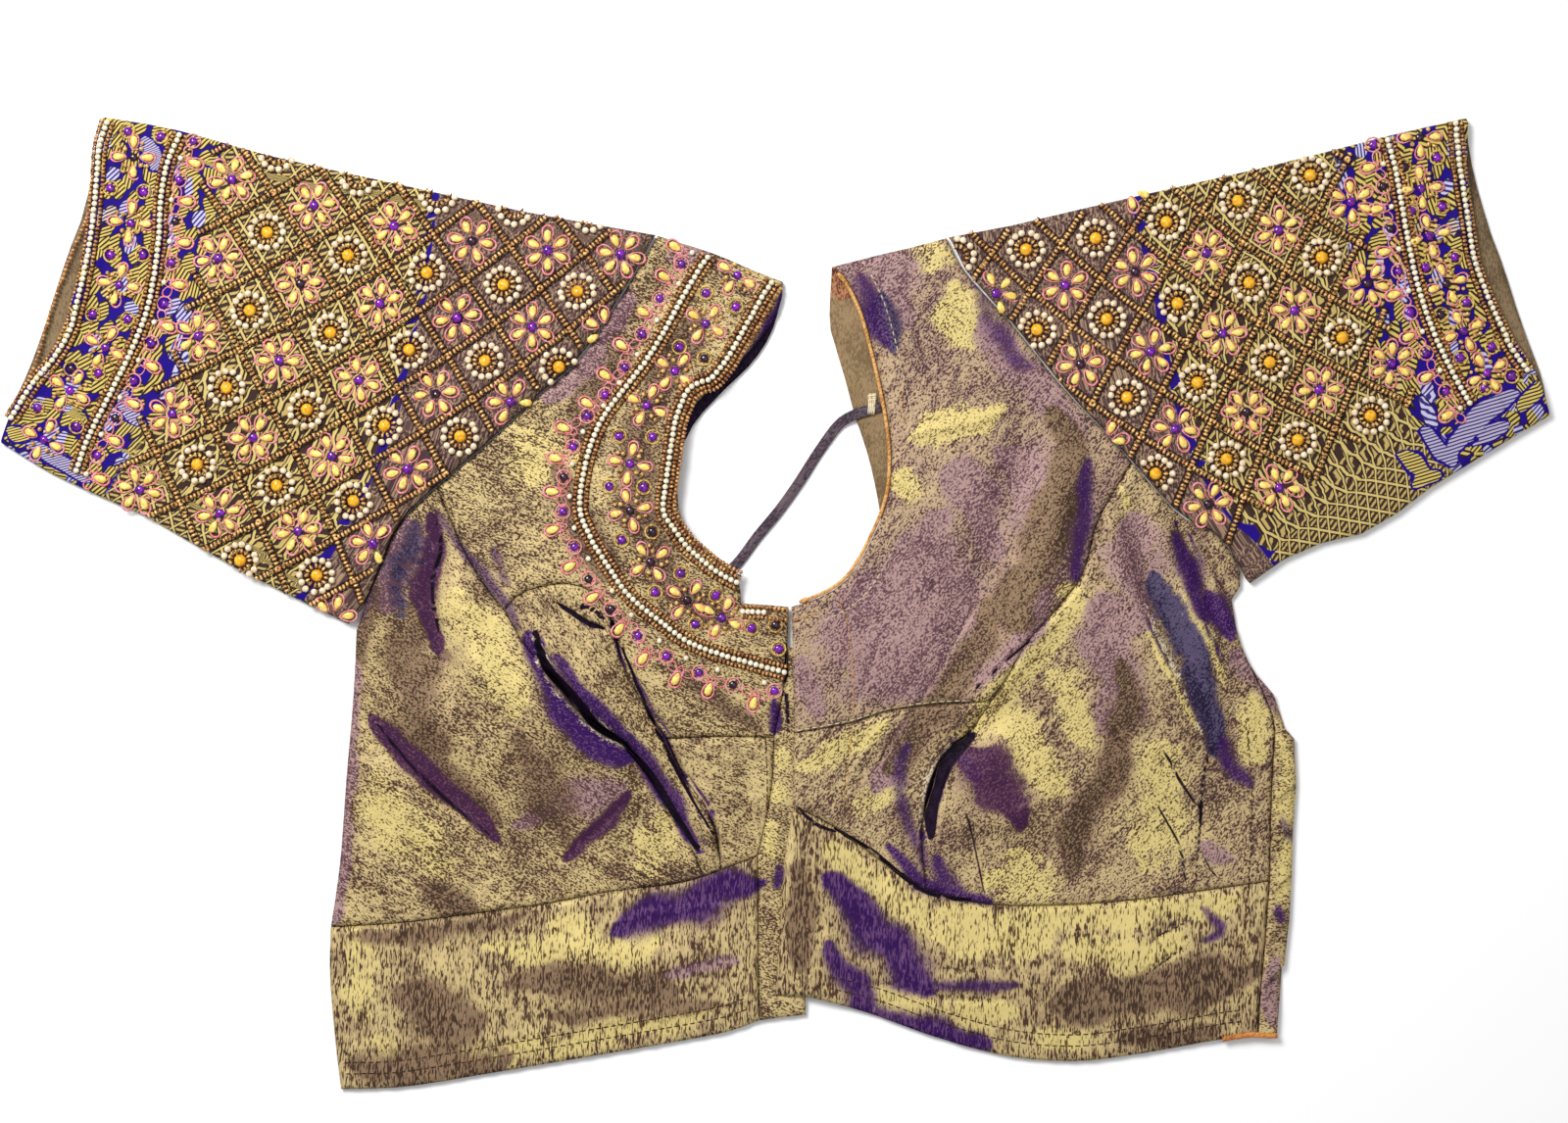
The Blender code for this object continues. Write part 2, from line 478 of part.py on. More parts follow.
def back_panel():
    """One flat piece with a deep U neck, turned up round the left side."""
    r = SIDE_FOLD_RADIUS
    seam = np.concatenate([curve("left side")[1:-1], curve("left band side")])
    fold = fold_line_x(seam[:, 1]) - r
    reach = np.where(seam[:, 1] > SIDE_TURN_TOP, seam[:, 0],
                     fold + math.pi * r + (fold - seam[:, 0]))
    right_edge = np.column_stack([reach, seam[:, 1]])
    foot = np.array([222.5 - r, -192.0])
    across = np.linspace(foot[0], right_edge[-1][0], 9)
    turn_foot = np.column_stack([across[1:-1], np.full(7, -192.0)])
    body = np.concatenate([
        curve("right shoulder")[:-1], curve("back neck")[:-1], curve("left shoulder")[:-1],
        curve("left armhole top")[:-1], curve("left armhole low"), right_edge[:-1],
        right_edge[-1:] * [1, 0] + [0, -192.0], turn_foot[::-1],
        np.column_stack([curve("-back hem")[1:-1, 0], curve("-back hem")[1:-1, 1]]),
        curve("-right band side")[:-1], curve("-right side")[:-1],
        curve("-right armhole low")[:-1], curve("-right armhole top")[:-1]])
    loop = inset(body, SEAM_GAP / 2)
    rows = np.arange(-180, 2, 20.0)
    bend = np.array([(fold_line_x(y) - r + math.pi * r * k / 5, y)
                     for y in rows for k in range(6)])
    bend = bend[inside(bend, loop)]
    bend = bend[distance(bend, np.vstack([loop, loop[:1]]))[0] > 0.5]
    spread = inner_points(loop, [], 26.0)
    spread = spread[spread[:, 0] < fold_line_x(spread[:, 1]) - r - 4]
    points, faces = fill_outline(loop, np.concatenate([bend, spread]))
    outer, inner = turned(points, 0.0), turned(points, WALL)
    n = len(points)
    verts = [tuple(v) for v in outer] + [tuple(v) for v in inner]
    every = [tuple(f) for f in faces] + [tuple(n + k for k in reversed(f)) for f in faces]
    sides = {(a, b) for f in faces for a, b in zip(f, f[1:] + f[:1])}
    every += [(b, a, n + a, n + b) for a, b in sides if (b, a) not in sides]
    return solid_object("back_panel", verts, every)


def coons(top, low, armhole, cuff, u, v):
    """A point between four edges: u runs from top to low, v from armhole to cuff."""
    def at(line, t):
        k = np.clip(t * (len(line) - 1), 0, len(line) - 1)
        i = np.minimum(k.astype(int), len(line) - 2)
        f = (k - i)[:, None]
        return line[i] * (1 - f) + line[i + 1] * f
    u_, v_ = u[:, None], v[:, None]
    return ((1 - u_) * at(top, v) + u_ * at(low, v)
            + (1 - v_) * at(armhole, u) + v_ * at(cuff, u)
            - (1 - u_) * (1 - v_) * top[0] - (1 - u_) * v_ * top[-1]
            - u_ * (1 - v_) * low[0] - u_ * v_ * low[-1])


def sleeve(name, side):
    """A flattened tube of cloth with an open cuff and raised bead bands."""
    top = spline(CURVES[side + " sleeve top"], 60)
    low = spline(CURVES[side + " sleeve low"], 60)
    arm = spline(CURVES[side + " armhole top"][:-1] + CURVES[side + " armhole low"][:-1]
                 + CURVES[side + " sleeve low"][:1], 120)
    upper = spline(CURVES[side + " cuff front"], 60)
    under = spline(CURVES[side + " cuff back"], 60)
    u_top = np.concatenate([np.linspace(0, 0.7, 10)[:-1], np.linspace(0.7, 1, 7)])
    columns = len(u_top)
    bands = BAND_PLACES[name]
    rows = sorted(set([round(r, 4) for r in np.linspace(0.004, bands[0] - 0.03, 8)]
                      + [bands[0] - 0.017, bands[0] - 0.009, bands[0] + 0.009,
                         bands[0] + 0.017, 0.92, bands[1] - 0.018, bands[1] - 0.009, 1.0]))
    r = SLEEVE_FOLD / 2
    verts, ring = [], 0
    for depth in (0.0, WALL):
        for v in rows:
            vv = np.full(columns, v)
            a = coons(top, low, arm, upper, u_top, vv)
            b = coons(top, low, arm, under, u_top, vv)
            across = a[-1] - a[0]
            across = across / np.hypot(*across)
            pull = np.full(columns, 0.0)
            pull[0], pull[-1] = r, -r
            a_in = a + pull[:, None] * across
            b_in = b + pull[:, None] * across
            high = SLEEVE_FOLD + lift(a_in) * np.clip(np.minimum(u_top, 1 - u_top) * 12, 0, 1)
            if depth == 0.0:
                on_band = max(math.exp(-((v - bands[0]) / 0.0125) ** 4),
                              math.exp(-((v - bands[1]) / 0.0150) ** 4)
                              if v > bands[1] - 0.012 else 0.0)
                reach = np.clip(np.minimum(u_top, 1 - u_top) * 14, 0, 1)
                high = high + BAND_RELIEF * on_band * reach
            upper_row = [(*p, z - depth) for p, z in zip(a_in, high)]
            lower_row = [(*p, depth) for p in b_in]
            edge_low, edge_high = [], []
            for angle in (-45, 0, 45):
                c, s = math.cos(math.radians(angle)), math.sin(math.radians(angle))
                q = a_in[-1] + (r - depth) * c * across
                edge_low.append((*q, r - (r - depth) * s))
                q = a_in[0] - (r - depth) * c * across
                edge_high.append((*q, r + (r - depth) * s))
            row = upper_row + edge_low + lower_row[::-1] + edge_high
            ring = len(row)
            verts += row
    faces, per = [], len(rows)
    for layer in (0, 1):
        start = layer * per * ring
        for i in range(per - 1):
            for k in range(ring):
                a, b = start + i * ring + k, start + i * ring + (k + 1) % ring
                faces.append((a, b, b + ring, a + ring) if layer == 0
                             else (a + ring, b + ring, b, a))
    inner_start = per * ring
    for i, flip in ((0, False), (per - 1, True)):
        for k in range(ring):
            a, b = i * ring + k, i * ring + (k + 1) % ring
            c, d = inner_start + b, inner_start + a
            faces.append((d, c, b, a) if not flip else (a, b, c, d))
    return solid_object(name, verts, faces)


def neck_piping():
    """A thin covered cord along the edge of the plain side of the neck."""
    line = curve("left neck", 4.5)
    step = np.gradient(line, axis=0)
    step /= np.hypot(step[:, 0], step[:, 1])[:, None]
    outward = np.column_stack([step[:, 1], -step[:, 0]])
    line = (line + outward * (PIPING_RADIUS + SEAM_GAP / 2))[1:-1]
    z = FRONT_REST + lift(line) + lap(line) - WALL / 2
    data = bpy.data.curves.new("neck_piping", "CURVE")
    data.dimensions = "3D"
    data.bevel_depth = PIPING_RADIUS * MM
    data.bevel_resolution = 2
    data.use_fill_caps = True
    path = data.splines.new("POLY")
    path.points.add(len(line) - 1)
    for point, (x, y), height in zip(path.points, line, z):
        point.co = (x * MM, y * MM, height * MM, 1.0)
    item = bpy.data.objects.new("neck_piping", data)
    bpy.context.collection.objects.link(item)
    return dress(item)


def back_tie():
    """A narrow flat strap across the back neck, under the right front."""
    path = spline(TIE_PATH, 26)
    path[:, 2] = np.maximum(path[:, 2], 0.0)
    step = np.gradient(path[:, :2], axis=0)
    step /= np.hypot(step[:, 0], step[:, 1])[:, None]
    side = np.column_stack([-step[:, 1], step[:, 0]])
    ring = [(-0.5, 0.25), (-0.42, 0.0), (0.42, 0.0), (0.5, 0.25), (0.5, 0.75), (0.42, 1.0),
            (0, 1.08), (-0.42, 1.0), (-0.5, 0.75)]
    verts = [(*(p[:2] + s * TIE_WIDTH * a), p[2] + TIE_WALL * b)
             for p, s in zip(path, side) for a, b in ring]
    n = len(ring)
    faces = [(i * n + k, i * n + (k + 1) % n, (i + 1) * n + (k + 1) % n, (i + 1) * n + k)
             for i in range(len(path) - 1) for k in range(n)]
    last = (len(path) - 1) * n
    faces += [tuple(range(n)), tuple(last + k for k in reversed(range(n)))]
    return solid_object("back_tie", verts, faces)


def main():
    for item in list(bpy.data.objects):
        bpy.data.objects.remove(item, do_unlink=True)
    for name, edge_names in FRONT_PANELS.items():
        front_panel(name, edge_names)
    back_panel()
    sleeve("right_sleeve", "right")
    sleeve("left_sleeve", "left")
    neck_piping()
    back_tie()
    total = 0
    graph = bpy.context.evaluated_depsgraph_get()
    for item in bpy.context.collection.objects:
        mesh = item.evaluated_get(graph).to_mesh()
        mesh.calc_loop_triangles()
        total += len(mesh.loop_triangles)
        box = np.array([item.matrix_world @ Vector(c) for c in item.bound_box]) * 1000
        print(item.name, len(mesh.loop_triangles), box.min(axis=0).round(1),
              box.max(axis=0).round(1))
    print("triangles", total)


main()
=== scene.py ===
"""Short fitted blouse laid face up: shot tissue fronts, brocade sleeves, beading and trims.

Lengths are in millimetres until a mesh is made, then in metres in the part's own frame.
"Right" and "left" are the wearer's, so the right front lies on the -X side.
"""

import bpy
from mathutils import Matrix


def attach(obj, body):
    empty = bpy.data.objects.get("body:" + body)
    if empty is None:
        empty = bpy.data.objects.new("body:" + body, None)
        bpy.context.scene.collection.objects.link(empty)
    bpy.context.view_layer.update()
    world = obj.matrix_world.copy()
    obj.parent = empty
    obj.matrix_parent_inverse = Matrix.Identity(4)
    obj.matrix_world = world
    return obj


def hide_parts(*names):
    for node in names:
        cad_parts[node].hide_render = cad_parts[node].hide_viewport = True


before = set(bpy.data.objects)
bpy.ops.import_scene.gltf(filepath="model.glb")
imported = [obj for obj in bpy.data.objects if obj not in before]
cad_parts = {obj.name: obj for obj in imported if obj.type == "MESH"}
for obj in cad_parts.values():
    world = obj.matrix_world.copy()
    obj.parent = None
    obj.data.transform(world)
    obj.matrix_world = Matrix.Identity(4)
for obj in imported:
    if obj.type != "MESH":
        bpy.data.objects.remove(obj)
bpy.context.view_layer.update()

import logging
import math
from dataclasses import dataclass, field
from enum import Enum

import bmesh
import bpy
import numpy as np
from mathutils import Vector

LOG = logging.getLogger("blouse")
MM = 0.001
SHARP = math.radians(50)
BATCH = 2000
Line = list[tuple[float, float]]
Stroke = tuple[float, float, Line]


class Tone(Enum):
    """Painted sheen and shade of the shot tissue, each a vertex attribute: gold is painted sheen,
    the lip tone painted highlight, the gap tone painted shadow, and mauve, violet, plum, slate and
    brown painted shade.
    """

    GOLD = "gold"
    MAUVE = "mauve"
    VIOLET = "violet"
    PLUM = "plum"
    SLATE = "slate"
    BROWN = "brown"
    PAINTED_HIGHLIGHT = "pale"
    PAINTED_SHADOW = "deep"


# Painted sheen and shade on the tissue, tone by tone: strength, half width, middle line.
PAINTED_SHEEN_AND_SHADE: dict[Tone, list[Stroke]] = {
    # Painted gold sheen where the tissue catches the light.
    Tone.GOLD: [
        (0.62, 13, [(-142, 6), (-124, -21), (-115, -51)]),
        (0.6, 13, [(-179, -76), (-165, -101), (-142, -119)]),
        (0.75, 8, [(-126, -152), (-90, -154), (-50, -151)]),
        (0.6, 8, [(-188, -145), (-185, -165), (-182, -182)]),
        (0.6, 7, [(-183, -193), (-147, -202), (-76, -193), (-23, -177)]),
        (1, 3, [(4, -64), (3, -73)]), (1, 3, [(1, -80), (0, -89)]),
        (0.9, 3, [(-2, -97), (-1, -112)]), (0.6, 12, [(-50, -94), (-53, -110), (-58, -119)]),
        (0.7, 10, [(-101, -145), (-76, -147)]), (0.9, 6, [(129, 9), (130, 1)]),
        (0.7, 7, [(135, 1), (116, -20), (98, -42), (82, -59)]),
        (0.9, 8, [(98, -44), (110, -61), (126, -83)]),
        (0.8, 2, [(157, 6), (165, -13), (174, -31), (186, -55)]),
        (0.8, 2.2, [(180, 6), (188, -9), (197, -30), (199, -36)]),
        (0.8, 8, [(210, -42), (211, -55), (214, -72)]),
        (0.7, 5, [(225, -59), (227, -93), (224, -132)]),
        (1, 6, [(22, -107), (42, -123), (60, -135), (74, -146)]),
        (1, 9, [(73, -146), (95, -149), (123, -146)]),
        (0.8, 9, [(127, -154), (151, -156), (182, -152)]), (0.9, 3, [(46, -172), (70, -178)]),
        (0.9, 5, [(82, -179), (107, -181)]), (0.9, 5, [(116, -194), (138, -192)]),
        (0.9, 5, [(12, -72), (39, -59), (50, -51)]), (0.6, 6, [(32, -92), (46, -87), (60, -84)]),
        (0.7, 6, [(39, -8), (37, -20), (32, -36)]),
        (0.8, 6, [(73, -137), (120, -140), (166, -137), (205, -132)]),
        (0.6, 14, [(169, -62), (172, -93), (160, -118)]),
        (0.8, 9, [(92, -121), (116, -124), (104, -109)]),
        (1, 14, [(80, 137), (84, 124), (91, 115)]), (1, 7, [(60, 75), (80, 79), (100, 85)]),
        (0.8, 3, [(153, 52), (161, 24), (171, -6)]), (0.8, 6, [(60, 59), (58, 46)]),
        (0.55, 14, [(-118, 72), (-100, 63), (-87, 50)]), (0.6, 12, [(65, 159), (69, 146)]),
        (0.7, 9, [(124, -30), (130, -45), (140, -60)]),
        (0.6, 5, [(34, -172), (60, -181), (96, -186)]),
    ],
    # Painted mauve shade where the tissue turns from the light.
    Tone.MAUVE: [
        (0.7, 9, [(-112, -96), (-87, -87), (-64, -78)]),
        (0.9, 14, [(-167, 38), (-169, 20), (-174, 0)]),
        (1, 4.4, [(-187, -15), (-190, -65), (-192, -101), (-194, -142)]),
        (0.8, 3, [(-51, -166), (-30, -160), (-16, -157)]),
        (1, 28, [(42, 9), (54, -13), (64, -36)]),
        (0.9, 4, [(120, 8), (115, -8), (104, -20), (88, -36)]),
        (0.9, 11, [(143, 6), (147, -16), (152, -39), (152, -59)]),
        (0.8, 6, [(202, -20), (213, -30), (221, -45)]), (0.8, 4, [(221, -157), (219, -187)]),
        (0.8, 5, [(11, -25), (17, -39), (19, -51)]), (0.7, 4, [(189, -106), (203, -115)]),
        (0.8, 5, [(62, -50), (51, -72), (42, -84)]), (0.9, 14, [(34, 154), (47, 142), (56, 124)]),
        (0.8, 8, [(91, 124), (113, 98), (134, 76)]), (0.8, 10, [(74, 42), (52, 7), (26, -15)]),
        (0.9, 8, [(-66, 137), (-83, 111), (-100, 92)]), (0.6, 6, [(-48, 154), (-31, 154)]),
        (0.9, 9, [(78, 60), (92, 40), (96, 20)]), (0.9, 12, [(100, 70), (116, 50), (120, 20)]),
        (0.8, 14, [(60, 30), (76, 10), (90, -10)]), (0.7, 14, [(156, 40), (160, 14), (158, -10)]),
    ],
    # Painted violet shade in folds.
    Tone.VIOLET: [
        (1.2, 2.4, [(4, 139), (1, 127), (-6, 116), (-17, 101.5), (-31, 88)]),
        (0.6, 3, [(-149, 41), (-138, 23), (-124, 7), (-112, -12)]),
        (1, 5.5, [(-108, -12), (-101, -33), (-90, -49), (-76, -64), (-64, -69)]),
        (0.9, 3.2, [(-96, -23), (-87, -37), (-76, -48), (-67, -58)]),
        (0.9, 4, [(-67, -58), (-55, -73), (-44, -92), (-35, -106)]),
        (1, 8, [(-71, -144), (-50, -136), (-26, -129), (-7, -122)]),
        (0.9, 2.5, [(-1, -42), (0, -57)]), (0.8, 2.5, [(2, -115), (0, -126)]),
        (0.5, 3, [(-126, 25), (-122, 18), (-117, 7)]), (1, 6, [(193, 6), (197, -5), (200, -14)]),
        (0.7, 4, [(196, -59), (203, -72), (211, -81)]), (0.6, 3, [(225, -96), (228, -106)]),
        (0.7, 3, [(223, -134), (225, -142)]),
        (1, 9, [(25, -123), (36, -135), (46, -148), (57, -160), (71, -171)]),
        (0.95, 7, [(25, -149), (32, -166), (46, -184), (70, -191), (96, -194)]),
        (0.9, 3.2, [(50, -106), (64, -124), (82, -129), (95, -132)]),
        (0.7, 4, [(139, 63), (135, 33), (133, 11)]), (0.8, 5, [(176, 30), (184, 12), (190, -8)]),
        (0.7, 6, [(36, 146), (44, 128), (48, 112)]), (0.6, 6, [(88, 148), (96, 124), (112, 104)]),
        (0.45, 5, [(84, -68), (90, -80)]), (0.6, 4, [(60, -62), (54, -76), (66, -118)]),
        (0.7, 4, [(70, -112), (74, -122), (84, -128)]),
        (0.6, 5, [(-178, 34), (-182, 14), (-185, -8)]),
        (0.7, 3, [(60, -166), (82, -170), (108, -168)]),
        (0.7, 3, [(188, -134), (198, -144), (190, -150)]),
    ],
    # Painted plum shade along creases.
    Tone.PLUM: [
        (1.2, 4, [(-178, -50), (-167, -63), (-152, -77), (-138, -90), (-122, -104)]),
        (0.9, 3.4, [(-94, -113), (-80, -101), (-64, -83)]),
        (1, 4.5, [(-151, 39), (-151, 23), (-155, 6), (-150, -21)]),
        (1, 12, [(85, -64), (93, -74), (101, -85), (105, -93)]),
    ],
    # Painted slate shade in dark valley folds.
    Tone.SLATE: [
        (1.1, 5.6, [(167, 12), (176, -6), (184, -24), (190, -42), (195, -66)]),
        (0.9, 6, [(47, 137), (50, 111)]), (0.55, 8, [(-160, 36), (-166, 15), (-169, -5)]),
    ],
    # Painted brown shade.
    Tone.BROWN: [
        (0.8, 9, [(-158, -178), (-143, -184), (-126, -184)]),
        (0.6, 5, [(-101, -183), (-58, -179), (-23, -177)]),
        (0.6, 5, [(-190, -149), (-147, -145), (-108, -138)]),
        (0.6, 4, [(-41, -30), (-23, -46), (-5, -55)]), (0.5, 8, [(-156, -126), (-142, -129)]),
        (0.85, 7, [(104, 15), (95, -8), (82, -31), (65, -55), (48, -75)]),
        (0.8, 7, [(153, -25), (155, -45), (151, -68)]),
        (0.95, 6, [(155, -50), (147, -78), (135, -96), (129, -120)]),
        (1, 9, [(123, -179), (151, -174), (182, -168), (213, -163)]),
        (0.8, 5, [(151, -194), (197, -190)]), (0.8, 6, [(12, -115), (11, -132), (12, -163)]),
        (1, 9, [(125, 85), (130, 63), (117, 24), (104, -11)]),
        (0.7, 5, [(-175, 30), (-180, 2), (-183, -28)]),
        (0.7, 12, [(-150, -22), (-160, -45), (-150, -70)]),
        (0.7, 11, [(-165, -168), (-150, -184), (-142, -200)]),
        (0.7, 10, [(-187, -205), (-150, -206), (-120, -203)]),
        (0.6, 10, [(-110, -60), (-105, -80), (-90, -104)]),
        (0.7, 8, [(-120, -166), (-80, -168), (-45, -172)]),
        (0.8, 4.5, [(-174, -52), (-160, -64), (-146, -76), (-132, -88), (-120, -98)]),
        (0.75, 8, [(-158, -126), (-146, -131), (-134, -134)]),
        (0.6, 9, [(-158, 0), (-163, -18), (-166, -34)]),
        (0.8, 7, [(-96, 60), (-84, 30), (-70, 10)]), (0.8, 7, [(-62, 116), (-76, 96), (-92, 70)]),
        (0.8, 7, [(-32, 126), (-54, 90), (-62, 50), (-46, 10), (-20, -8)]),
    ],
    # Painted highlights on the lips of folds.
    Tone.PAINTED_HIGHLIGHT: [
        (0.62, 1.3, [(160, 4), (168, -12), (177, -32), (188, -58)]),
        (0.9, 3.4, [(-107, -13), (-100, -30), (-88, -45), (-77, -56), (-65, -64)]),
        (0.8, 1.2, [(82, -58), (72, -69), (66, -82), (64, -100)]),
    ],
    # Painted shadow in open fold gaps.
    Tone.PAINTED_SHADOW: [
        (1.5, 2.1, [(-106, -13), (-101, -28), (-93, -37), (-86, -45), (-79, -54), (-65, -63)]),
        (1.4, 1.5, [(-67, -62), (-55, -76), (-44, -94), (-36, -106), (-32, -111)]),
        (1.2, 0.8, [(-73, -6), (-64, -29), (-55, -50), (-44, -73), (-33, -93), (-26, -104)]),
        (1.2, 1.3, [(-98, 1), (-90, -4), (-82, -9), (-75, -11)]),
        (1.2, 1, [(-86, -1), (-80, -3), (-75, -8)]),
        (0.64, 2.4, [(-178, -51), (-168, -64), (-154, -79), (-140, -92), (-126, -103)]),
        (0.9, 1.2, [(-150, 36), (-148, 24), (-152, 8), (-149, -14)]),
        (1.3, 3.6, [(88, -58), (77, -69), (71, -82), (69, -92), (69, -104)]),
        (1.1, 1.1, [(25, -99), (42, -109), (58, -122), (70, -129), (92, -132)]),
        (0.75, 0.8, [(88, -38), (101, -26), (116, -13)]),
        (0.7, 1.3, [(168, -57), (178, -77), (189, -93)]),
        (0.7, 1.3, [(169, -89), (179, -108), (182, -126)]),
        (0.7, 1.3, [(194, -60), (189, -78), (188, -100), (186, -125)]),
        (0.66, 1.2, [(190, -113), (197, -124)]), (0.66, 1.2, [(83, -86), (87, -103), (93, -130)]),
        (0.66, 1.2, [(68, -130), (69, -147)]), (0.66, 1.2, [(168, -148), (185, -140)]),
        (0.66, 1.2, [(163, -165), (185, -149)]),
        (0.6, 1.3, [(133, 81), (113, 47), (103, 24), (100, -12), (92, -27)]),
        (0.58, 1.2, [(42, -84), (47, -68), (52, -55)]),
        (0.9, 1.2, [(10, -90), (17, -97), (26, -101)]),
        (0.9, 1.2, [(5, -17), (5, -40), (6, -58)]),
    ],
}

# Creases pressed into the fronts: height, half width, line.
CREASES: list[Stroke] = [
    (0.35, 2, [(-192, -198), (-148, -195), (-83, -187), (-9, -175)]),
    (-1.2, 1.8, [(-179, -49), (-173, -60), (-163, -72), (-150, -85), (-138, -97)]),
    (-0.4, 1.2, [(-158, -64), (-142, -74), (-126, -83), (-115, -92)]),
    (-3.5, 1.6, [(-105, -16), (-99, -30), (-87, -46), (-76, -57), (-64, -65), (-53, -78),
        (-42, -96), (-33, -110)]),
    (1.2, 1.6, [(-106, -17), (-102, -33), (-90, -48), (-78, -59), (-66, -66), (-56, -78),
        (-46, -94), (-35, -109)]),
    (1.2, 1.8, [(-101, -17), (-94, -28), (-80, -46), (-69, -55), (-60, -64), (-50, -76),
        (-39, -92), (-30, -106)]),
    (-1.8, 1.4, [(-73, -7), (-66, -26), (-58, -41), (-48, -58), (-41, -74), (-30, -90),
        (-26, -101), (-25, -114)]),
    (-1.2, 1.1, [(-97, 1), (-89, -5), (-80, -11), (-73, -12)]),
    (0.8, 1.2, [(-96, 4), (-87, -2), (-76, -9)]), (-0.8, 1, [(-87, -2), (-78, -3), (-74, -8)]),
    (-0.6, 1, [(-58, -78), (-60, -92), (-65, -110), (-68, -124)]),
    (-0.9, 1, [(-18, -73), (-12, -83), (-10, -96), (-8, -106)]),
    (-0.5, 1, [(-16, -64), (-12, -71), (-7, -78)]),
    (-1.4, 2.2, [(-150, 39), (-147, 23), (-153, 6), (-151, -12), (-147, -25)]),
    (-0.8, 1.6, [(-94, -114), (-80, -101), (-67, -89)]),
    (-0.5, 1.4, [(-50, -165), (-30, -160), (-16, -156)]),
    (0.5, 1.6, [(-73, -142), (-48, -136), (-9, -133)]),
    (-0.7, 1, [(-8, -161), (-5, -170), (-6, -181)]),
    (0.6, 1, [(-23, -174), (-19, -179), (-21, -184)]),
    (0.5, 0.8, [(-2, -65), (-3, -83), (-5, -101)]), (-0.6, 0.8, [(4, -81), (6, -87), (7, -90)]),
    (-0.35, 1, [(-57, 150), (-70, 133), (-83, 115)]),
    (-0.35, 1, [(-44, 150), (-59, 129), (-74, 111)]),
    (-0.3, 1, [(-83, 102), (-96, 89), (-109, 81)]),
    (0.3, 1.2, [(-61, 137), (-79, 115), (-90, 98)]),
    (-3.5, 2.4, [(87, -58), (76, -69), (71, -81), (67, -93), (66, -104)]),
    (1.2, 2, [(78, -72), (75, -84), (73, -100)]),
    (1, 1.6, [(80, -62), (71, -73), (66, -90), (64, -109)]),
    (-0.6, 0.9, [(137, 12), (127, 0), (118, -11)]),
    (-0.5, 0.9, [(116, -23), (109, -33), (103, -45)]),
    (-0.7, 1, [(88, -39), (101, -27), (115, -14), (121, -8)]),
    (-0.6, 1.2, [(90, 1), (76, -23), (64, -44), (51, -62), (42, -78)]),
    (0.5, 1.2, [(102, 6), (95, -16), (82, -36), (68, -53)]),
    (0.9, 1.4, [(151, 15), (158, 1), (166, -14), (174, -31), (182, -45), (188, -53)]),
    (0.9, 1.2, [(180, 6), (188, -9), (196, -25), (199, -36)]),
    (-1, 2.5, [(171, 0), (180, -19), (188, -37), (194, -53)]),
    (-0.7, 1, [(168, -61), (174, -75), (182, -86), (189, -93)]),
    (-0.6, 1, [(169, -90), (175, -103), (180, -112), (182, -124)]),
    (-0.6, 1.1, [(195, -62), (189, -78), (189, -93), (187, -109), (186, -124)]),
    (0.6, 1.3, [(189, -65), (188, -84), (186, -106)]),
    (-0.4, 1, [(187, -106), (196, -117), (203, -124)]),
    (-0.6, 1, [(79, -84), (85, -100), (90, -117), (93, -131)]),
    (-0.5, 0.9, [(69, -129), (68, -140), (69, -149)]),
    (-0.8, 1.4, [(42, -168), (57, -171), (76, -175), (104, -176)]),
    (-0.6, 1.2, [(57, -152), (68, -160), (82, -163), (102, -160)]),
    (0.6, 1.3, [(45, -152), (57, -162), (67, -170)]),
    (-0.5, 1, [(167, -149), (175, -145), (184, -139)]),
    (-0.6, 1, [(165, -163), (174, -157), (184, -152)]),
    (0.4, 1.2, [(123, -146), (138, -147), (144, -157)]),
    (-0.4, 1, [(186, -157), (199, -152), (213, -152)]),
    (-0.6, 1.2, [(26, -123), (36, -128), (46, -137), (56, -148)]),
    (-0.6, 1.2, [(9, -92), (15, -93), (20, -90)]), (-0.5, 1, [(8, -131), (14, -129), (19, -132)]),
    (-0.5, 1, [(9, -143), (15, -146), (22, -145)]),
    (-0.45, 0.8, [(19, -93), (19, -109), (20, -132), (21, -156), (29, -174)]),
    (-0.35, 0.8, [(32, 0), (33, -31), (34, -50), (32, -72), (30, -92)]),
    (-0.5, 1.2, [(46, -16), (42, -31), (34, -50)]), (0.5, 1.4, [(51, -50), (42, -62), (31, -81)]),
    (-0.4, 1, [(46, -65), (39, -76), (32, -92)]),
    (-0.5, 1.2, [(53, -106), (60, -112), (65, -123)]),
    (0.5, 2.2, [(50, 142), (52, 120), (58, 94)]), (-0.5, 2.2, [(58, 146), (65, 115), (74, 85)]),
    (0.7, 2.6, [(58, 74), (80, 79), (104, 85)]), (0.6, 2.4, [(87, 137), (97, 118), (108, 98)]),
    (-1.4, 2.4, [(178, 36), (187, 18), (194, -2)]),
    (-1.2, 2.2, [(190, 24), (200, 7), (205, -11)]),
    (0.9, 1.4, [(183, 33), (194, 11), (201, -11)]),
]

# Soft folds in the sleeves: height, half width, line.
SLEEVE_FOLDS: list[Stroke] = [
    (-1, 5, [(-75, 150), (-120, 118), (-160, 90)]),
    (0.9, 5, [(-95, 150), (-130, 130), (-180, 118)]),
    (-0.9, 5, [(-150, 50), (-190, 40), (-230, 44)]),
    (0.8, 4, [(-170, 30), (-205, 22), (-240, 30)]),
    (-0.8, 4, [(-200, 150), (-230, 120), (-250, 90)]),
    (0.9, 4, [(-285, 190), (-300, 150), (-318, 115)]),
    (-0.9, 4, [(92, 150), (130, 120), (170, 104)]), (1, 4, [(210, 12), (222, 34), (236, 52)]),
    (-1, 3.2, [(216, 14), (232, 30), (250, 40)]), (-0.9, 3, [(246, 30), (256, 42), (262, 56)]),
    (0.9, 3, [(262, 34), (270, 46), (284, 56)]), (-0.8, 4, [(190, 150), (220, 126), (250, 112)]),
    (0.9, 4, [(300, 190), (306, 150), (322, 118)]),
]

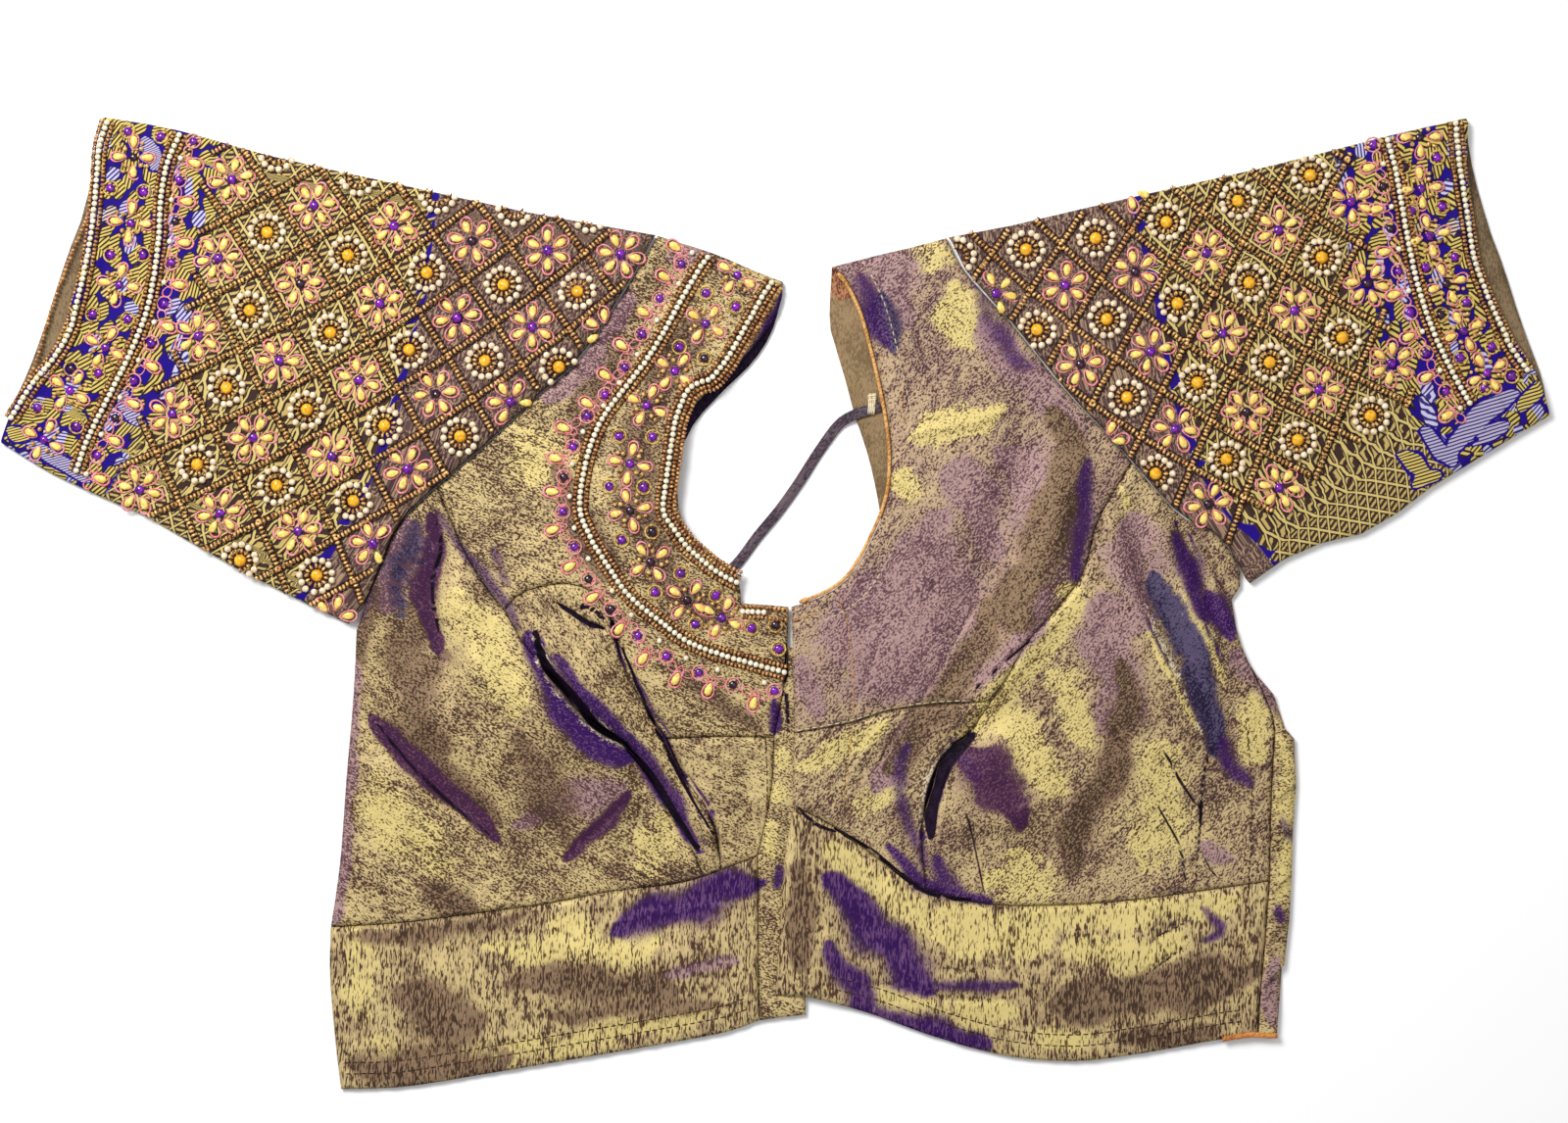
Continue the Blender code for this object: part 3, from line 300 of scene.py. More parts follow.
# Large woven figures near the cuffs: attribute, half width, middle line.
FIGURES: list[tuple[str, float, Line]] = [
    ("silver", 5.2, [(328, 93), (320, 89), (312, 84), (304, 74), (299, 66)]),
    ("silver", 3.4, [(288, 79), (290, 72), (297, 66), (303, 62)]),
    ("silver", 3, [(311, 70), (317, 76), (324, 80)]),
    ("gilt", 4.6, [(278, 66), (282, 62), (287, 58)]),
    ("gilt", 3.4, [(283, 52), (289, 56), (296, 57)]),
    ("gilt", 3.4, [(318, 62), (326, 67), (334, 74)]),
    ("gilt", 3.6, [(330, 86), (335, 92), (338, 98)]),
    ("silver", 4, [(-331, 70), (-323, 66), (-313, 60), (-305, 55)]),
    ("silver", 4, [(-290, 93), (-285, 86), (-281, 80)]),
    ("silver", 3.6, [(-279, 206), (-276, 199), (-274, 191)]),
    ("gilt", 4, [(-340, 76), (-335, 74), (-330, 76)]),
]

BAND_LINES: dict[str, Line] = {
    "neck_inner": [
        (-1.7, 141.8), (-6.1, 134.9), (-10.3, 127.3), (-14.5, 120), (-18.6, 112.7),
        (-23.5, 105.1), (-28.3, 99.5), (-33.9, 97.4), (-38.7, 94), (-41.5, 87.7),
        (-43.9, 81.5), (-45.3, 74.5), (-46.4, 66.2), (-47.5, 59.3), (-48.4, 52.3),
        (-49.4, 45.4), (-49.1, 39.8), (-46.4, 35), (-42.9, 30.1), (-38.7, 24.6), (-33.9, 20.4),
        (-28.3, 15.6), (-22.8, 12.1), (-17.2, 9.3)],
    "neck_outer": [
        (-30, 153), (-35, 145.5), (-42, 133), (-49, 120), (-57.5, 106.5), (-66, 95.5),
        (-75.5, 83), (-81.5, 70), (-85, 55), (-86, 41), (-82, 30), (-74.5, 17.5), (-64.5, 3.5),
        (-52, -7), (-38.5, -17), (-24.5, -22.5), (-10.5, -26.5), (4, -30.5)],
    "neck_step": [
        (-14.5, -3.5), (-5, -4), (5, -5)],
    "right_cuff": [
        (-295.5, 212.5), (-298.5, 201.8), (-299.6, 186.8), (-301.4, 167.3), (-304, 149.4),
        (-307.5, 134.4), (-312, 119.4), (-319.8, 106.5), (-328, 97), (-337.5, 82)],
    "right_second": [
        (-263.5, 207), (-268.5, 194.3), (-271.2, 179.3), (-272.2, 159.9), (-274.9, 140.4),
        (-278.2, 126.9), (-284.9, 110.4), (-291.7, 97), (-297.7, 85), (-303.7, 73),
        (-308.9, 58.8)],
    "left_cuff": [
        (301, 212), (301.6, 201.1), (303, 186.7), (305.6, 169.4), (308.3, 152.1),
        (313.4, 137.6), (319.2, 124.6), (324.9, 113.1), (332.1, 103)],
    "left_second": [
        (270.8, 204.7), (273.7, 193.9), (276.6, 178), (279.5, 160.7), (283.1, 143.4),
        (287.4, 129), (293.2, 114.5), (300.4, 100.1), (306.9, 88.6)],
}

# Four-petalled flowers in a chain between two bands, and the stone pairs between them.
CHAINS: dict[str, Line] = {
    "neck": [
        (-16.7, 145.3), (-30.6, 123.8), (-44.5, 102.7), (-56.7, 87.5), (-64.1, 61.7),
        (-64.1, 40.9), (-55.1, 18.2), (-38.9, 1.4), (-23.7, -6.5)],
    "right_cuff": [
        (-283.9, 197.3), (-284.9, 168.1), (-289.9, 140.8), (-296.2, 113.1), (-311.9, 94),
        (-323.6, 72.3)],
    "left_cuff": [
        (285.2, 206.2), (285.7, 183.5), (289.3, 162.4), (296.8, 141.2), (304.3, 120.3),
        (314.8, 101.8)],
}
STONES: dict[str, Line] = {
    "neck": [
        (-30.6, 137.3), (-17.4, 131.2), (-42.4, 113.4), (-31.3, 108.3), (-69, 73.9),
        (-54, 73.5), (-73.3, 51.7), (-58, 51.3), (-67.8, 27.9), (-54.4, 31.6), (-41.7, 13.2),
        (-53.1, 4.8), (-26.2, 3.5), (-35.3, -9.3), (-10.4, -11.1), (0.1, -9.7), (1.5, -20.2)],
    "right_cuff": [
        (-286.4, 208.8), (-271.8, 206.6), (-293.9, 183.5), (-279.2, 182), (-293.6, 153.9),
        (-279.4, 154.2), (-301.6, 127.7), (-286, 125.4), (-311.4, 103.7), (-299.2, 101.8),
        (-326.4, 86.5), (-308.9, 78.2)],
    "left_cuff": [
        (292.8, 197.1), (278, 193.2), (295.1, 175.6), (281.4, 173.4), (300.4, 153.1),
        (287.4, 148.4), (305.7, 132.9), (294.2, 127.5), (317, 113.4), (302.9, 108.5),
        (325.7, 100.5), (313.7, 95.3)],
}


# The scalloped edge below the neck band: its drops, stones and small pearls.
SCALLOP: dict[str, Line] = {
    "drops": [
        (-44.3, 157.8), (-49.1, 144.6), (-58.2, 128.7), (-67.9, 114.1), (-75.2, 100.9),
        (-83.1, 88.4), (-93.5, 77.6), (-97, 64.1), (-98.4, 49.3), (-98, 32.5), (-90.5, 16.3),
        (-80.4, 2.7), (-68.8, -11.2), (-58.2, -24.3), (-43.9, -33.4), (-29.4, -38.1),
        (-9.6, -44.1)],
    "stones": [
        (-41.5, 150.2), (-51.2, 134.9), (-58.9, 119.2), (-66.5, 104.4), (-75.2, 92.2),
        (-83.1, 82.9), (-89.4, 69.3), (-93.5, 55.8), (-93.8, 40.5), (-88.7, 24.9),
        (-82.4, 10.7), (-72.3, -2.5), (-60.5, -14.3), (-48, -23.3), (-33.6, -30.6),
        (-18.6, -36.1), (-0.3, -38.8)],
    "pearls": [
        (-36.7, 155), (-42.5, 141.4), (-52.2, 125.2), (-60.7, 109.9), (-68.8, 97.4),
        (-75.8, 87.3), (-84.9, 75.9), (-89.7, 61.4), (-90.8, 47.1), (-88.7, 33.2),
        (-82.4, 19.7), (-72, 5.6), (-63.4, -5), (-51.2, -16.4), (-39.4, -24.3), (-25.6, -29.3),
        (-4.7, -35.1)],
}
HEM_BEADS: Line = [(-303, 174), (-310, 158.5), (-318, 137.5), (-323.8, 119), (-327, 107.5),
                   (-331.5, 97)]


def linear(red: float, green: float, blue: float) -> tuple[float, float, float, float]:
    """Turn an 0 to 255 display colour into a linear one.

    Args:
        red, green, blue: The display colour's parts.

    Returns:
        The linear colour with full alpha.
    """
    def part(c: float) -> float:
        """One part of the colour."""
        c /= 255.0
        return c / 12.92 if c <= 0.04045 else ((c + 0.055) / 1.055) ** 2.4
    return (part(red), part(green), part(blue), 1.0)


def smooth_line(points: Line | np.ndarray, step: float) -> np.ndarray:
    """Pass a smooth line through points and cut it into equal steps.

    Args:
        points: The points, in order.
        step: About how long each step is.

    Returns:
        The points along the line, one row each.
    """
    p = np.array(points, dtype=float)
    if len(p) > 2:
        ends = [2 * p[0] - p[1], *p, 2 * p[-1] - p[-2]]
        fine = []
        for a, b, c, d in zip(ends, ends[1:], ends[2:], ends[3:]):
            for t in np.linspace(0, 1, 12, endpoint=False):
                fine.append(0.5 * (2 * b + (c - a) * t + (2 * a - 5 * b + 4 * c - d) * t * t
                                   + (3 * b - a - 3 * c + d) * t ** 3))
        p = np.array(fine + [p[-1]])
    run = np.concatenate([[0], np.cumsum(np.hypot(*np.diff(p[:, :2], axis=0).T))])
    at = np.linspace(0, run[-1], max(2, int(round(run[-1] / step)) + 1))
    return np.column_stack([np.interp(at, run, p[:, k]) for k in range(p.shape[1])])


def directions(line: np.ndarray) -> np.ndarray:
    """Unit directions along a line of points."""
    step = np.gradient(line[:, :2], axis=0)
    return step / np.maximum(np.hypot(step[:, 0], step[:, 1]), 1e-9)[:, None]


def beyond(line: np.ndarray, amount: float) -> np.ndarray:
    """A line made longer at both ends."""
    d = directions(line)
    return np.vstack([line[0] - amount * d[0], line, line[-1] + amount * d[-1]])


def beside(line: np.ndarray, amount: float) -> np.ndarray:
    """A line moved sideways, to its left when amount is positive."""
    d = directions(line)
    return line[:, :2] + amount * np.column_stack([-d[:, 1], d[:, 0]])


def distance(points: np.ndarray, line: np.ndarray) -> tuple[np.ndarray, np.ndarray, np.ndarray]:
    """Measure points against a line.

    Args:
        points: Flat points, one row each.
        line: The line's points.

    Returns:
        The distance, the run along the line in millimetres, and the side (+1 left).
    """
    best = np.full(len(points), 1e9)
    run = np.zeros(len(points))
    side = np.ones(len(points))
    start = 0.0
    for a, b in zip(line, line[1:]):
        ab = b - a
        size = math.hypot(*ab)
        t = np.clip(((points - a) @ ab) / max(size * size, 1e-9), 0, 1)
        away = points - a - t[:, None] * ab
        d = np.hypot(away[:, 0], away[:, 1])
        near = d < best
        best[near] = d[near]
        run[near] = start + t[near] * size
        side[near] = np.sign(ab[0] * away[near, 1] - ab[1] * away[near, 0])
        start += size
    return best, run, side


def stroke(points: np.ndarray, half: float, path: Line, blunt: float = 0.25) -> np.ndarray:
    """Weight of a soft stroke at each point, as wide as a long lens.

    Args:
        points: Flat points, one row each.
        half: Half the stroke's width at its middle.
        path: Its middle line.
        blunt: Width of its ends, as a share.

    Returns:
        The weights, from 0 to 1.
    """
    out = np.zeros(len(points))
    low, high = np.min(path, axis=0) - 3 * half, np.max(path, axis=0) + 3 * half
    near = np.all((points >= low) & (points <= high), axis=1)
    if near.any():
        line = smooth_line(path, max(1.5, half))
        d, run, _ = distance(points[near], line)
        size = float(np.hypot(*np.diff(line, axis=0).T).sum())
        t = np.clip(run / max(size, 1e-6), 0, 1)
        wide = blunt + (1 - blunt) * np.sqrt(np.clip(1 - (2 * t - 1) ** 2, 0, 1))
        out[near] = np.exp(-(d / (half * wide)) ** 2)
    return out


def ragged(points: np.ndarray, reach: float) -> np.ndarray:
    """Points moved about a little, so that what is drawn on them gets uneven edges."""
    x, y = points[:, 0], points[:, 1]
    dx = np.sin(y / 6.1 + 2.0 * np.sin(x / 13.0)) + 0.5 * np.sin(x / 4.3 + y / 3.6)
    dy = np.sin(x / 7.3 + 2.0 * np.sin(y / 11.0)) + 0.5 * np.sin(y / 4.7 - x / 3.9)
    return points + reach * np.column_stack([dx, dy])


def painted_tone_at(tone: Tone, points: np.ndarray) -> np.ndarray:
    """How strongly each flat point takes a tone of painted sheen or shade."""
    value = np.zeros(len(points))
    thin = tone in (Tone.PAINTED_SHADOW, Tone.PAINTED_HIGHLIGHT)
    for strength, half, path in PAINTED_SHEEN_AND_SHADE[tone]:
        moved = points if thin else ragged(points, min(2.6, 0.24 * half))
        wide = half if thin else 1.3 * half
        value = np.maximum(value, strength * stroke(moved, wide, path))
    return value


@dataclass
class Crumple:
    """Small sharp creases of a papery cloth, the same on each run."""

    seed: int
    height: float
    shortest: float = 7.0
    longest: float = 26.0
    waves: int = 18

    def at(self, points: np.ndarray) -> np.ndarray:
        """Height of the crumple at flat points."""
        random = np.random.default_rng(self.seed)
        z = np.zeros(len(points))
        bend = 3.0 * np.sin(points[:, ::-1] / 17.0 + random.uniform(0, 6, 2))
        for _ in range(self.waves):
            size = random.uniform(self.shortest, self.longest)
            angle, phase = random.uniform(0, math.pi), random.uniform(0, 6.3)
            way = np.array([math.cos(angle), math.sin(angle)])
            across = (points + bend) @ way * math.pi / size + phase
            along = (points[:, 1] * way[0] - points[:, 0] * way[1]) / (2.3 * size) + 2 * phase
            ridge = 1 - np.abs(np.sin(across))
            z += size / self.longest * (ridge ** 2 - 0.23) * (0.5 + 0.5 * np.sin(along))
        return self.height * z / math.sqrt(self.waves) * 2.0


class Val:
    """A shader socket that takes part in Python sums; each operator adds a Math node."""

    def __init__(self, graph: "Graph", socket: bpy.types.NodeSocket) -> None:
        """Wrap a socket of a graph."""
        self.graph = graph
        self.socket = socket

    def __add__(self, other: "Val | float") -> "Val":
        """Sum."""
        return self.graph.math("ADD", self, other)

    __radd__ = __add__

    def __sub__(self, other: "Val | float") -> "Val":
        """Difference."""
        return self.graph.math("SUBTRACT", self, other)

    def __rsub__(self, other: "Val | float") -> "Val":
        """Difference from a number."""
        return self.graph.math("SUBTRACT", other, self)

    def __mul__(self, other: "Val | float") -> "Val":
        """Product."""
        return self.graph.math("MULTIPLY", self, other)

    __rmul__ = __mul__

    def __truediv__(self, other: "Val | float") -> "Val":
        """Quotient."""
        return self.graph.math("DIVIDE", self, other)

    def __abs__(self) -> "Val":
        """Size without its sign."""
        return self.graph.math("ABSOLUTE", self)

    def fract(self) -> "Val":
        """Part after the decimal point."""
        return self.graph.math("FRACT", self)

    def sine(self) -> "Val":
        """Sine."""
        return self.graph.math("SINE", self)

    def step(self, start: float, end: float) -> "Val":
        """Rise softly from 0 at start to 1 at end; end may be below start."""
        return self.graph.value("ShaderNodeMapRange", {"interpolation_type": "SMOOTHSTEP"},
                                {0: self, 1: start, 2: end, 3: 0.0, 4: 1.0})


class Graph:
    """A material's nodes, with one Principled surface."""

    def __init__(self, name: str) -> None:
        """Start an empty material of this name."""
        self.material = bpy.data.materials.new(name)
        self.material.use_nodes = True
        self.tree = self.material.node_tree
        self.tree.nodes.clear()
        self.surface = self.tree.nodes.new("ShaderNodeBsdfPrincipled")
        output = self.tree.nodes.new("ShaderNodeOutputMaterial")
        self.tree.links.new(self.surface.outputs[0], output.inputs[0])

    def node(self, kind: str, settings: dict | None = None,
             inputs: dict | None = None) -> bpy.types.Node:
        """Add a node.

        Args:
            kind: Its type name.
            settings: Its own settings, set first.
            inputs: Values or links by socket name or number.

        Returns:
            The node.
        """
        node = self.tree.nodes.new(kind)
        for key, value in (settings or {}).items():
            setattr(node, key, value)
        for key, value in (inputs or {}).items():
            self.plug(node.inputs[key], value)
        return node

    def value(self, kind: str, settings: dict | None = None, inputs: dict | None = None,
              output: int | str = 0) -> "Val":
        """Add a node and take one of its outputs."""
        return Val(self, self.node(kind, settings, inputs).outputs[output])

    def plug(self, socket: bpy.types.NodeSocket, value: "Val | float | tuple") -> None:
        """Link a value to a socket, or set it there."""
        if isinstance(value, Val):
            self.tree.links.new(value.socket, socket)
        else:
            socket.default_value = value

    def math(self, operation: str, *values: "Val | float") -> Val:
        """Add a Math node."""
        return self.value("ShaderNodeMath", {"operation": operation}, dict(enumerate(values)))

    def place(self) -> Val:
        """Place on the piece, in millimetres."""
        where = self.value("ShaderNodeTexCoord", output="Object")
        return self.value("ShaderNodeVectorMath", {"operation": "SCALE"},
                          {0: where, "Scale": 1 / MM})

    def turned(self, where: Val, degrees: float, scale: tuple[float, float, float]) -> Val:
        """Turn a place about the vertical, then scale it."""
        turn = self.value("ShaderNodeMapping", {"vector_type": "POINT"},
                          {"Vector": where, "Rotation": (0.0, 0.0, math.radians(degrees))})
        return self.value("ShaderNodeVectorMath", {"operation": "MULTIPLY"}, {0: turn, 1: scale})

    def noise(self, where: Val, detail: float = 2.0, rough: float = 0.5) -> Val:
        """Noise of about one unit, 0 to 1."""
        return self.value("ShaderNodeTexNoise", {"noise_dimensions": "3D"},
                          {"Vector": where, "Scale": 1.0, "Detail": detail,
                           "Roughness": rough})

    def attribute(self, name: str) -> Val:
        """A number that the mesh carries."""
        return self.value("ShaderNodeAttribute", {"attribute_name": name}, output="Fac")

    def mix(self, share: "Val | float", first: "Val | tuple", second: "Val | tuple") -> Val:
        """Blend two colours; share is the second one's."""
        return self.value("ShaderNodeMix", {"data_type": "RGBA"},
                          {0: share, 6: first, 7: second}, 2)

    def vector(self, x: Val, y: Val) -> Val:
        """Put two numbers together as a place."""
        return self.value("ShaderNodeCombineXYZ", None, {0: x, 1: y})

    def done(self, colour: "Val | tuple", roughness: "Val | float", metallic: "Val | float",
             bump: Val | None = None, depth: float = 0.1,
             shine: float = 0.08) -> bpy.types.Material:
        """Plug the surface.

        Args:
            colour, roughness, metallic: The surface's values.
            bump: Height of the relief, 0 to 1.
            depth: How deep the relief is, in millimetres.
            shine: Strength of the white reflection.

        Returns:
            The material.
        """
        self.plug(self.surface.inputs["Base Color"], colour)
        self.plug(self.surface.inputs["Roughness"], roughness)
        self.plug(self.surface.inputs["Metallic"], metallic)
        self.surface.inputs["Specular IOR Level"].default_value = shine
        if bump is not None:
            relief = {"Strength": 1.0, "Distance": depth * MM, "Height": bump}
            self.plug(self.surface.inputs["Normal"],
                      self.value("ShaderNodeBump", None, relief))
        return self.material


@dataclass(frozen=True)
class ShotTissue:
    """Silk tissue with gold weft; its gold shine and its mauve, violet and darker turns are
    painted sheen and shade, read from vertex attributes.
    """

    name: str
    grain: float = 0.0
    slub: float = 1.0
    gold: float = 0.0
    thread: float = 0.8
    cast: float = 0.0

    def material(self) -> bpy.types.Material:
        """Make the material."""
        g = Graph(self.name)
        where = g.place()
        fine = g.noise(g.turned(where, self.grain, (1.6, self.thread, 1.0)), 1.2, 0.6)
        streak = g.noise(g.turned(where, self.grain, (0.9, 0.04, 0.3)), 2.0, 0.7)
        cloud = g.noise(g.turned(where, self.grain, (0.06, 0.035, 0.05)), 3.0, 0.6)
        patch = g.noise(g.turned(where, self.grain, (0.34, 0.13, 0.2)), 3.0, 0.65)
        uneven = (0.7 * (fine - 0.5) + 0.7 * (cloud - 0.5) + 0.9 * (patch - 0.5)
                  + 0.4 * (streak - 0.5))
        # Masks of the painted sheen and shade tones.
        tone = {t: (g.attribute(t.value) + uneven).step(0.28, 0.66) for t in Tone}
        sharp = 0.9 * (fine - 0.5) + 0.6 * (patch - 0.5) + 0.3 * (streak - 0.5)
        tone[Tone.VIOLET] = (g.attribute("violet") + sharp).step(0.2, 0.82)
        # The attribute named deep is the painted shadow in open fold gaps.
        tone[Tone.PAINTED_SHADOW] = (g.attribute("deep") + 0.3 * (fine - 0.5)).step(0.42, 0.62)
        # The gold share rises with painted sheen and with lean, painted light on slopes facing the
        # lamp, and falls with painted shade.
        share = (self.gold + 0.05 * tone[Tone.GOLD] - 0.02 * tone[Tone.MAUVE]
                 - 0.07 * tone[Tone.VIOLET] - 0.08 * tone[Tone.PLUM] - 0.03 * tone[Tone.BROWN]
                 + 0.25 * (cloud - 0.5) + 0.2 * (patch - 0.5)
                 + 0.25 * self.slub * (streak - 0.5) + 0.08 * g.attribute("lean"))
        lit = (fine + share).step(0.44, 0.56)
        dull = (0.5 * cloud + 0.5 * patch).step(0.38, 0.58)
        ground = g.mix(dull, linear(68, 48, 38), linear(82, 60, 44))
        thread = g.mix(dull, linear(168, 144, 108), linear(200, 178, 126))
        ground = g.mix(self.cast, ground, linear(84, 54, 78))
        thread = g.mix(self.cast, thread, linear(156, 122, 124))
        # Ground and thread colours of each painted tone: gold and the lip tone are painted sheen
        # and highlight, the gap tone painted shadow, the others painted shade.
        sheen_and_shade_colours = ((Tone.GOLD, (96, 76, 46), (212, 192, 126)),
                   (Tone.MAUVE, (94, 64, 74), (168, 138, 132)),
                   (Tone.BROWN, (64, 47, 37), (138, 113, 88)),
                   (Tone.PLUM, (60, 30, 60), (96, 62, 80)),
                   (Tone.SLATE, (36, 28, 56), (84, 74, 100)),
                   (Tone.VIOLET, (48, 18, 78), (98, 64, 106)),
                   (Tone.PAINTED_HIGHLIGHT, (134, 110, 96), (222, 208, 176)),
                   (Tone.PAINTED_SHADOW, (10, 4, 14), (28, 12, 34)))
        for name, dark, light in sheen_and_shade_colours:
            ground = g.mix(tone[name], ground, linear(*dark))
            thread = g.mix(tone[name], thread, linear(*light))
        weave = g.noise(g.turned(where, self.grain, (2.2, 0.3, 1.0)), 1.0)
        return g.done(g.mix(lit, ground, thread), 0.75 - 0.2 * lit, 0.15 * lit,
                      0.6 * fine + 0.4 * weave, 0.14)


@dataclass(frozen=True)
class Brocade:
    """Sleeve cloth: navy border with gold and silver leaves, trellis, then plain tissue."""

    name: str
    border: float = 54.0
    tooth: float = 8.0
    tooth_height: float = 5.5

    def material(self) -> bpy.types.Material:
        """Make the material; the mesh carries along, across and plain, in millimetres."""
        g = Graph(self.name)
        along, across = g.attribute("along"), g.attribute("across")
        plain = g.attribute("plain")
        warp = g.noise(g.vector(across / 12.0, along / 12.0), 2.0)
        fine = g.noise(g.vector(across * 0.9, along * 0.9), 2.0, 0.6)
        cloth = g.mix((along - self.border + 8.0 * (warp - 0.5)).step(-1.5, 1.5),
                      self.leaves(g, along, across, warp, fine),
                      self.trellis(g, along, across, fine))
        saw = (across / self.tooth).fract()
        navy = (self.tooth_height * saw + plain).step(-0.4, 0.4) * plain.step(0.4, -0.4)
        cloth = g.mix(navy, cloth, linear(34, 14, 120))
        vein = ((across + 0.7 * along) * (2 * math.pi / 1.6) + 3 * warp).sine().step(-0.5, 0.1)
        for name, shade, light in (("silver", (60, 48, 110), (180, 172, 194)),
                                   ("gilt", (54, 38, 30), (208, 186, 104))):
            value = g.attribute(name) + 0.1 * (fine - 0.5)
            cloth = g.mix(value.step(0.2, 0.27), cloth, linear(30, 10, 118))
            cloth = g.mix(value.step(0.42, 0.5), cloth,
                          g.mix(vein, linear(*shade), linear(*light)))
        tissue = g.mix((fine - 0.02).step(0.44, 0.58), linear(74, 52, 56), linear(156, 130, 104))
        cloth = g.mix(plain.step(-0.5, 0.5), cloth, tissue)
        return g.done(cloth, 0.7, 0.08, fine, 0.16)

    def leaves(self, g: Graph, along: Val, across: Val, warp: Val, fine: Val) -> Val:
        """Colour of the border: gold and silver leaves on navy."""
        cells = g.node("ShaderNodeTexVoronoi", {"voronoi_dimensions": "2D"},
                       {"Vector": g.vector(across / 7.4 + 1.3 * warp, along / 5.6 + 1.1 * warp),
                        "Scale": 1.0, "Randomness": 0.9})
        reach = Val(g, cells.outputs["Distance"])
        parts = g.node("ShaderNodeSeparateColor", None, {0: Val(g, cells.outputs["Color"])})
        lean, kind = Val(g, parts.outputs[0]), Val(g, parts.outputs[1])
        hatch = ((across * lean + along * (1 - lean)) * (2 * math.pi / 1.4)).sine()
        metal = g.mix(kind.step(0.74, 0.78), linear(204, 182, 98), linear(190, 186, 214))
        shade = g.mix(kind.step(0.74, 0.78), linear(52, 36, 32), linear(54, 44, 116))
        leaf = g.mix(hatch.step(-0.4, 0.2), shade, metal)
        leaf = g.mix(reach.step(0.47, 0.53), leaf, linear(34, 22, 46))
        navy = reach.step(0.56, 0.6) * (fine + 0.1 * kind).step(0.2, 0.3)
        return g.mix(navy, leaf, linear(32, 12, 122))

    def trellis(self, g: Graph, along: Val, across: Val, fine: Val) -> Val:
        """Colour of the field: small diamonds with bars, outlined in gold and dark brown."""
        a, b = (across / 9.2).fract() - 0.5, (along / 6.6).fract() - 0.5
        away = abs(abs(a) + abs(b) - 0.5)
        bars = (across * (2 * math.pi / 2.3)).sine()
        inner = g.mix((bars + 1.4 * (fine - 0.5)).step(-0.1, 0.5), linear(60, 42, 38),
                      linear(186, 162, 98))
        inner = g.mix(away.step(0.2, 0.14), inner, linear(42, 28, 32))
        return g.mix(away.step(0.095, 0.06), inner, linear(202, 180, 112))


@dataclass(frozen=True)
class PlainCloth:
    """A plain woven cloth or thread of one colour."""

    name: str
    colour: tuple[float, float, float]
    dark: tuple[float, float, float]
    grain: float = 0.0

    def material(self) -> bpy.types.Material:
        """Make the material."""
        g = Graph(self.name)
        where = g.place()
        fine = g.noise(g.turned(where, self.grain, (1.6, 0.6, 1.2)), 2.0, 0.6)
        cloud = g.noise(g.turned(where, self.grain, (0.08, 0.05, 0.08)), 2.0)
        mask = (fine + 0.6 * (cloud - 0.5)).step(0.36, 0.62)
        return g.done(g.mix(mask, linear(*self.dark), linear(*self.colour)), 0.65, 0.0, fine)


@dataclass(frozen=True)
class Glaze:
    """Finish of glass beads, pearls and stones."""

    name: str
    colour: tuple[float, float, float]
    other: tuple[float, float, float]
    roughness: float = 0.25
    metallic: float = 0.0
    shine: float = 0.25

    def material(self) -> bpy.types.Material:
        """Make the material; neighbours differ a little in colour."""
        g = Graph(self.name)
        shade = g.noise(g.turned(g.place(), 20.0, (0.7, 0.7, 0.1)), 1.0)
        return g.done(g.mix(shade.step(0.35, 0.65), linear(*self.other), linear(*self.colour)),
                      self.roughness, self.metallic, shine=self.shine)


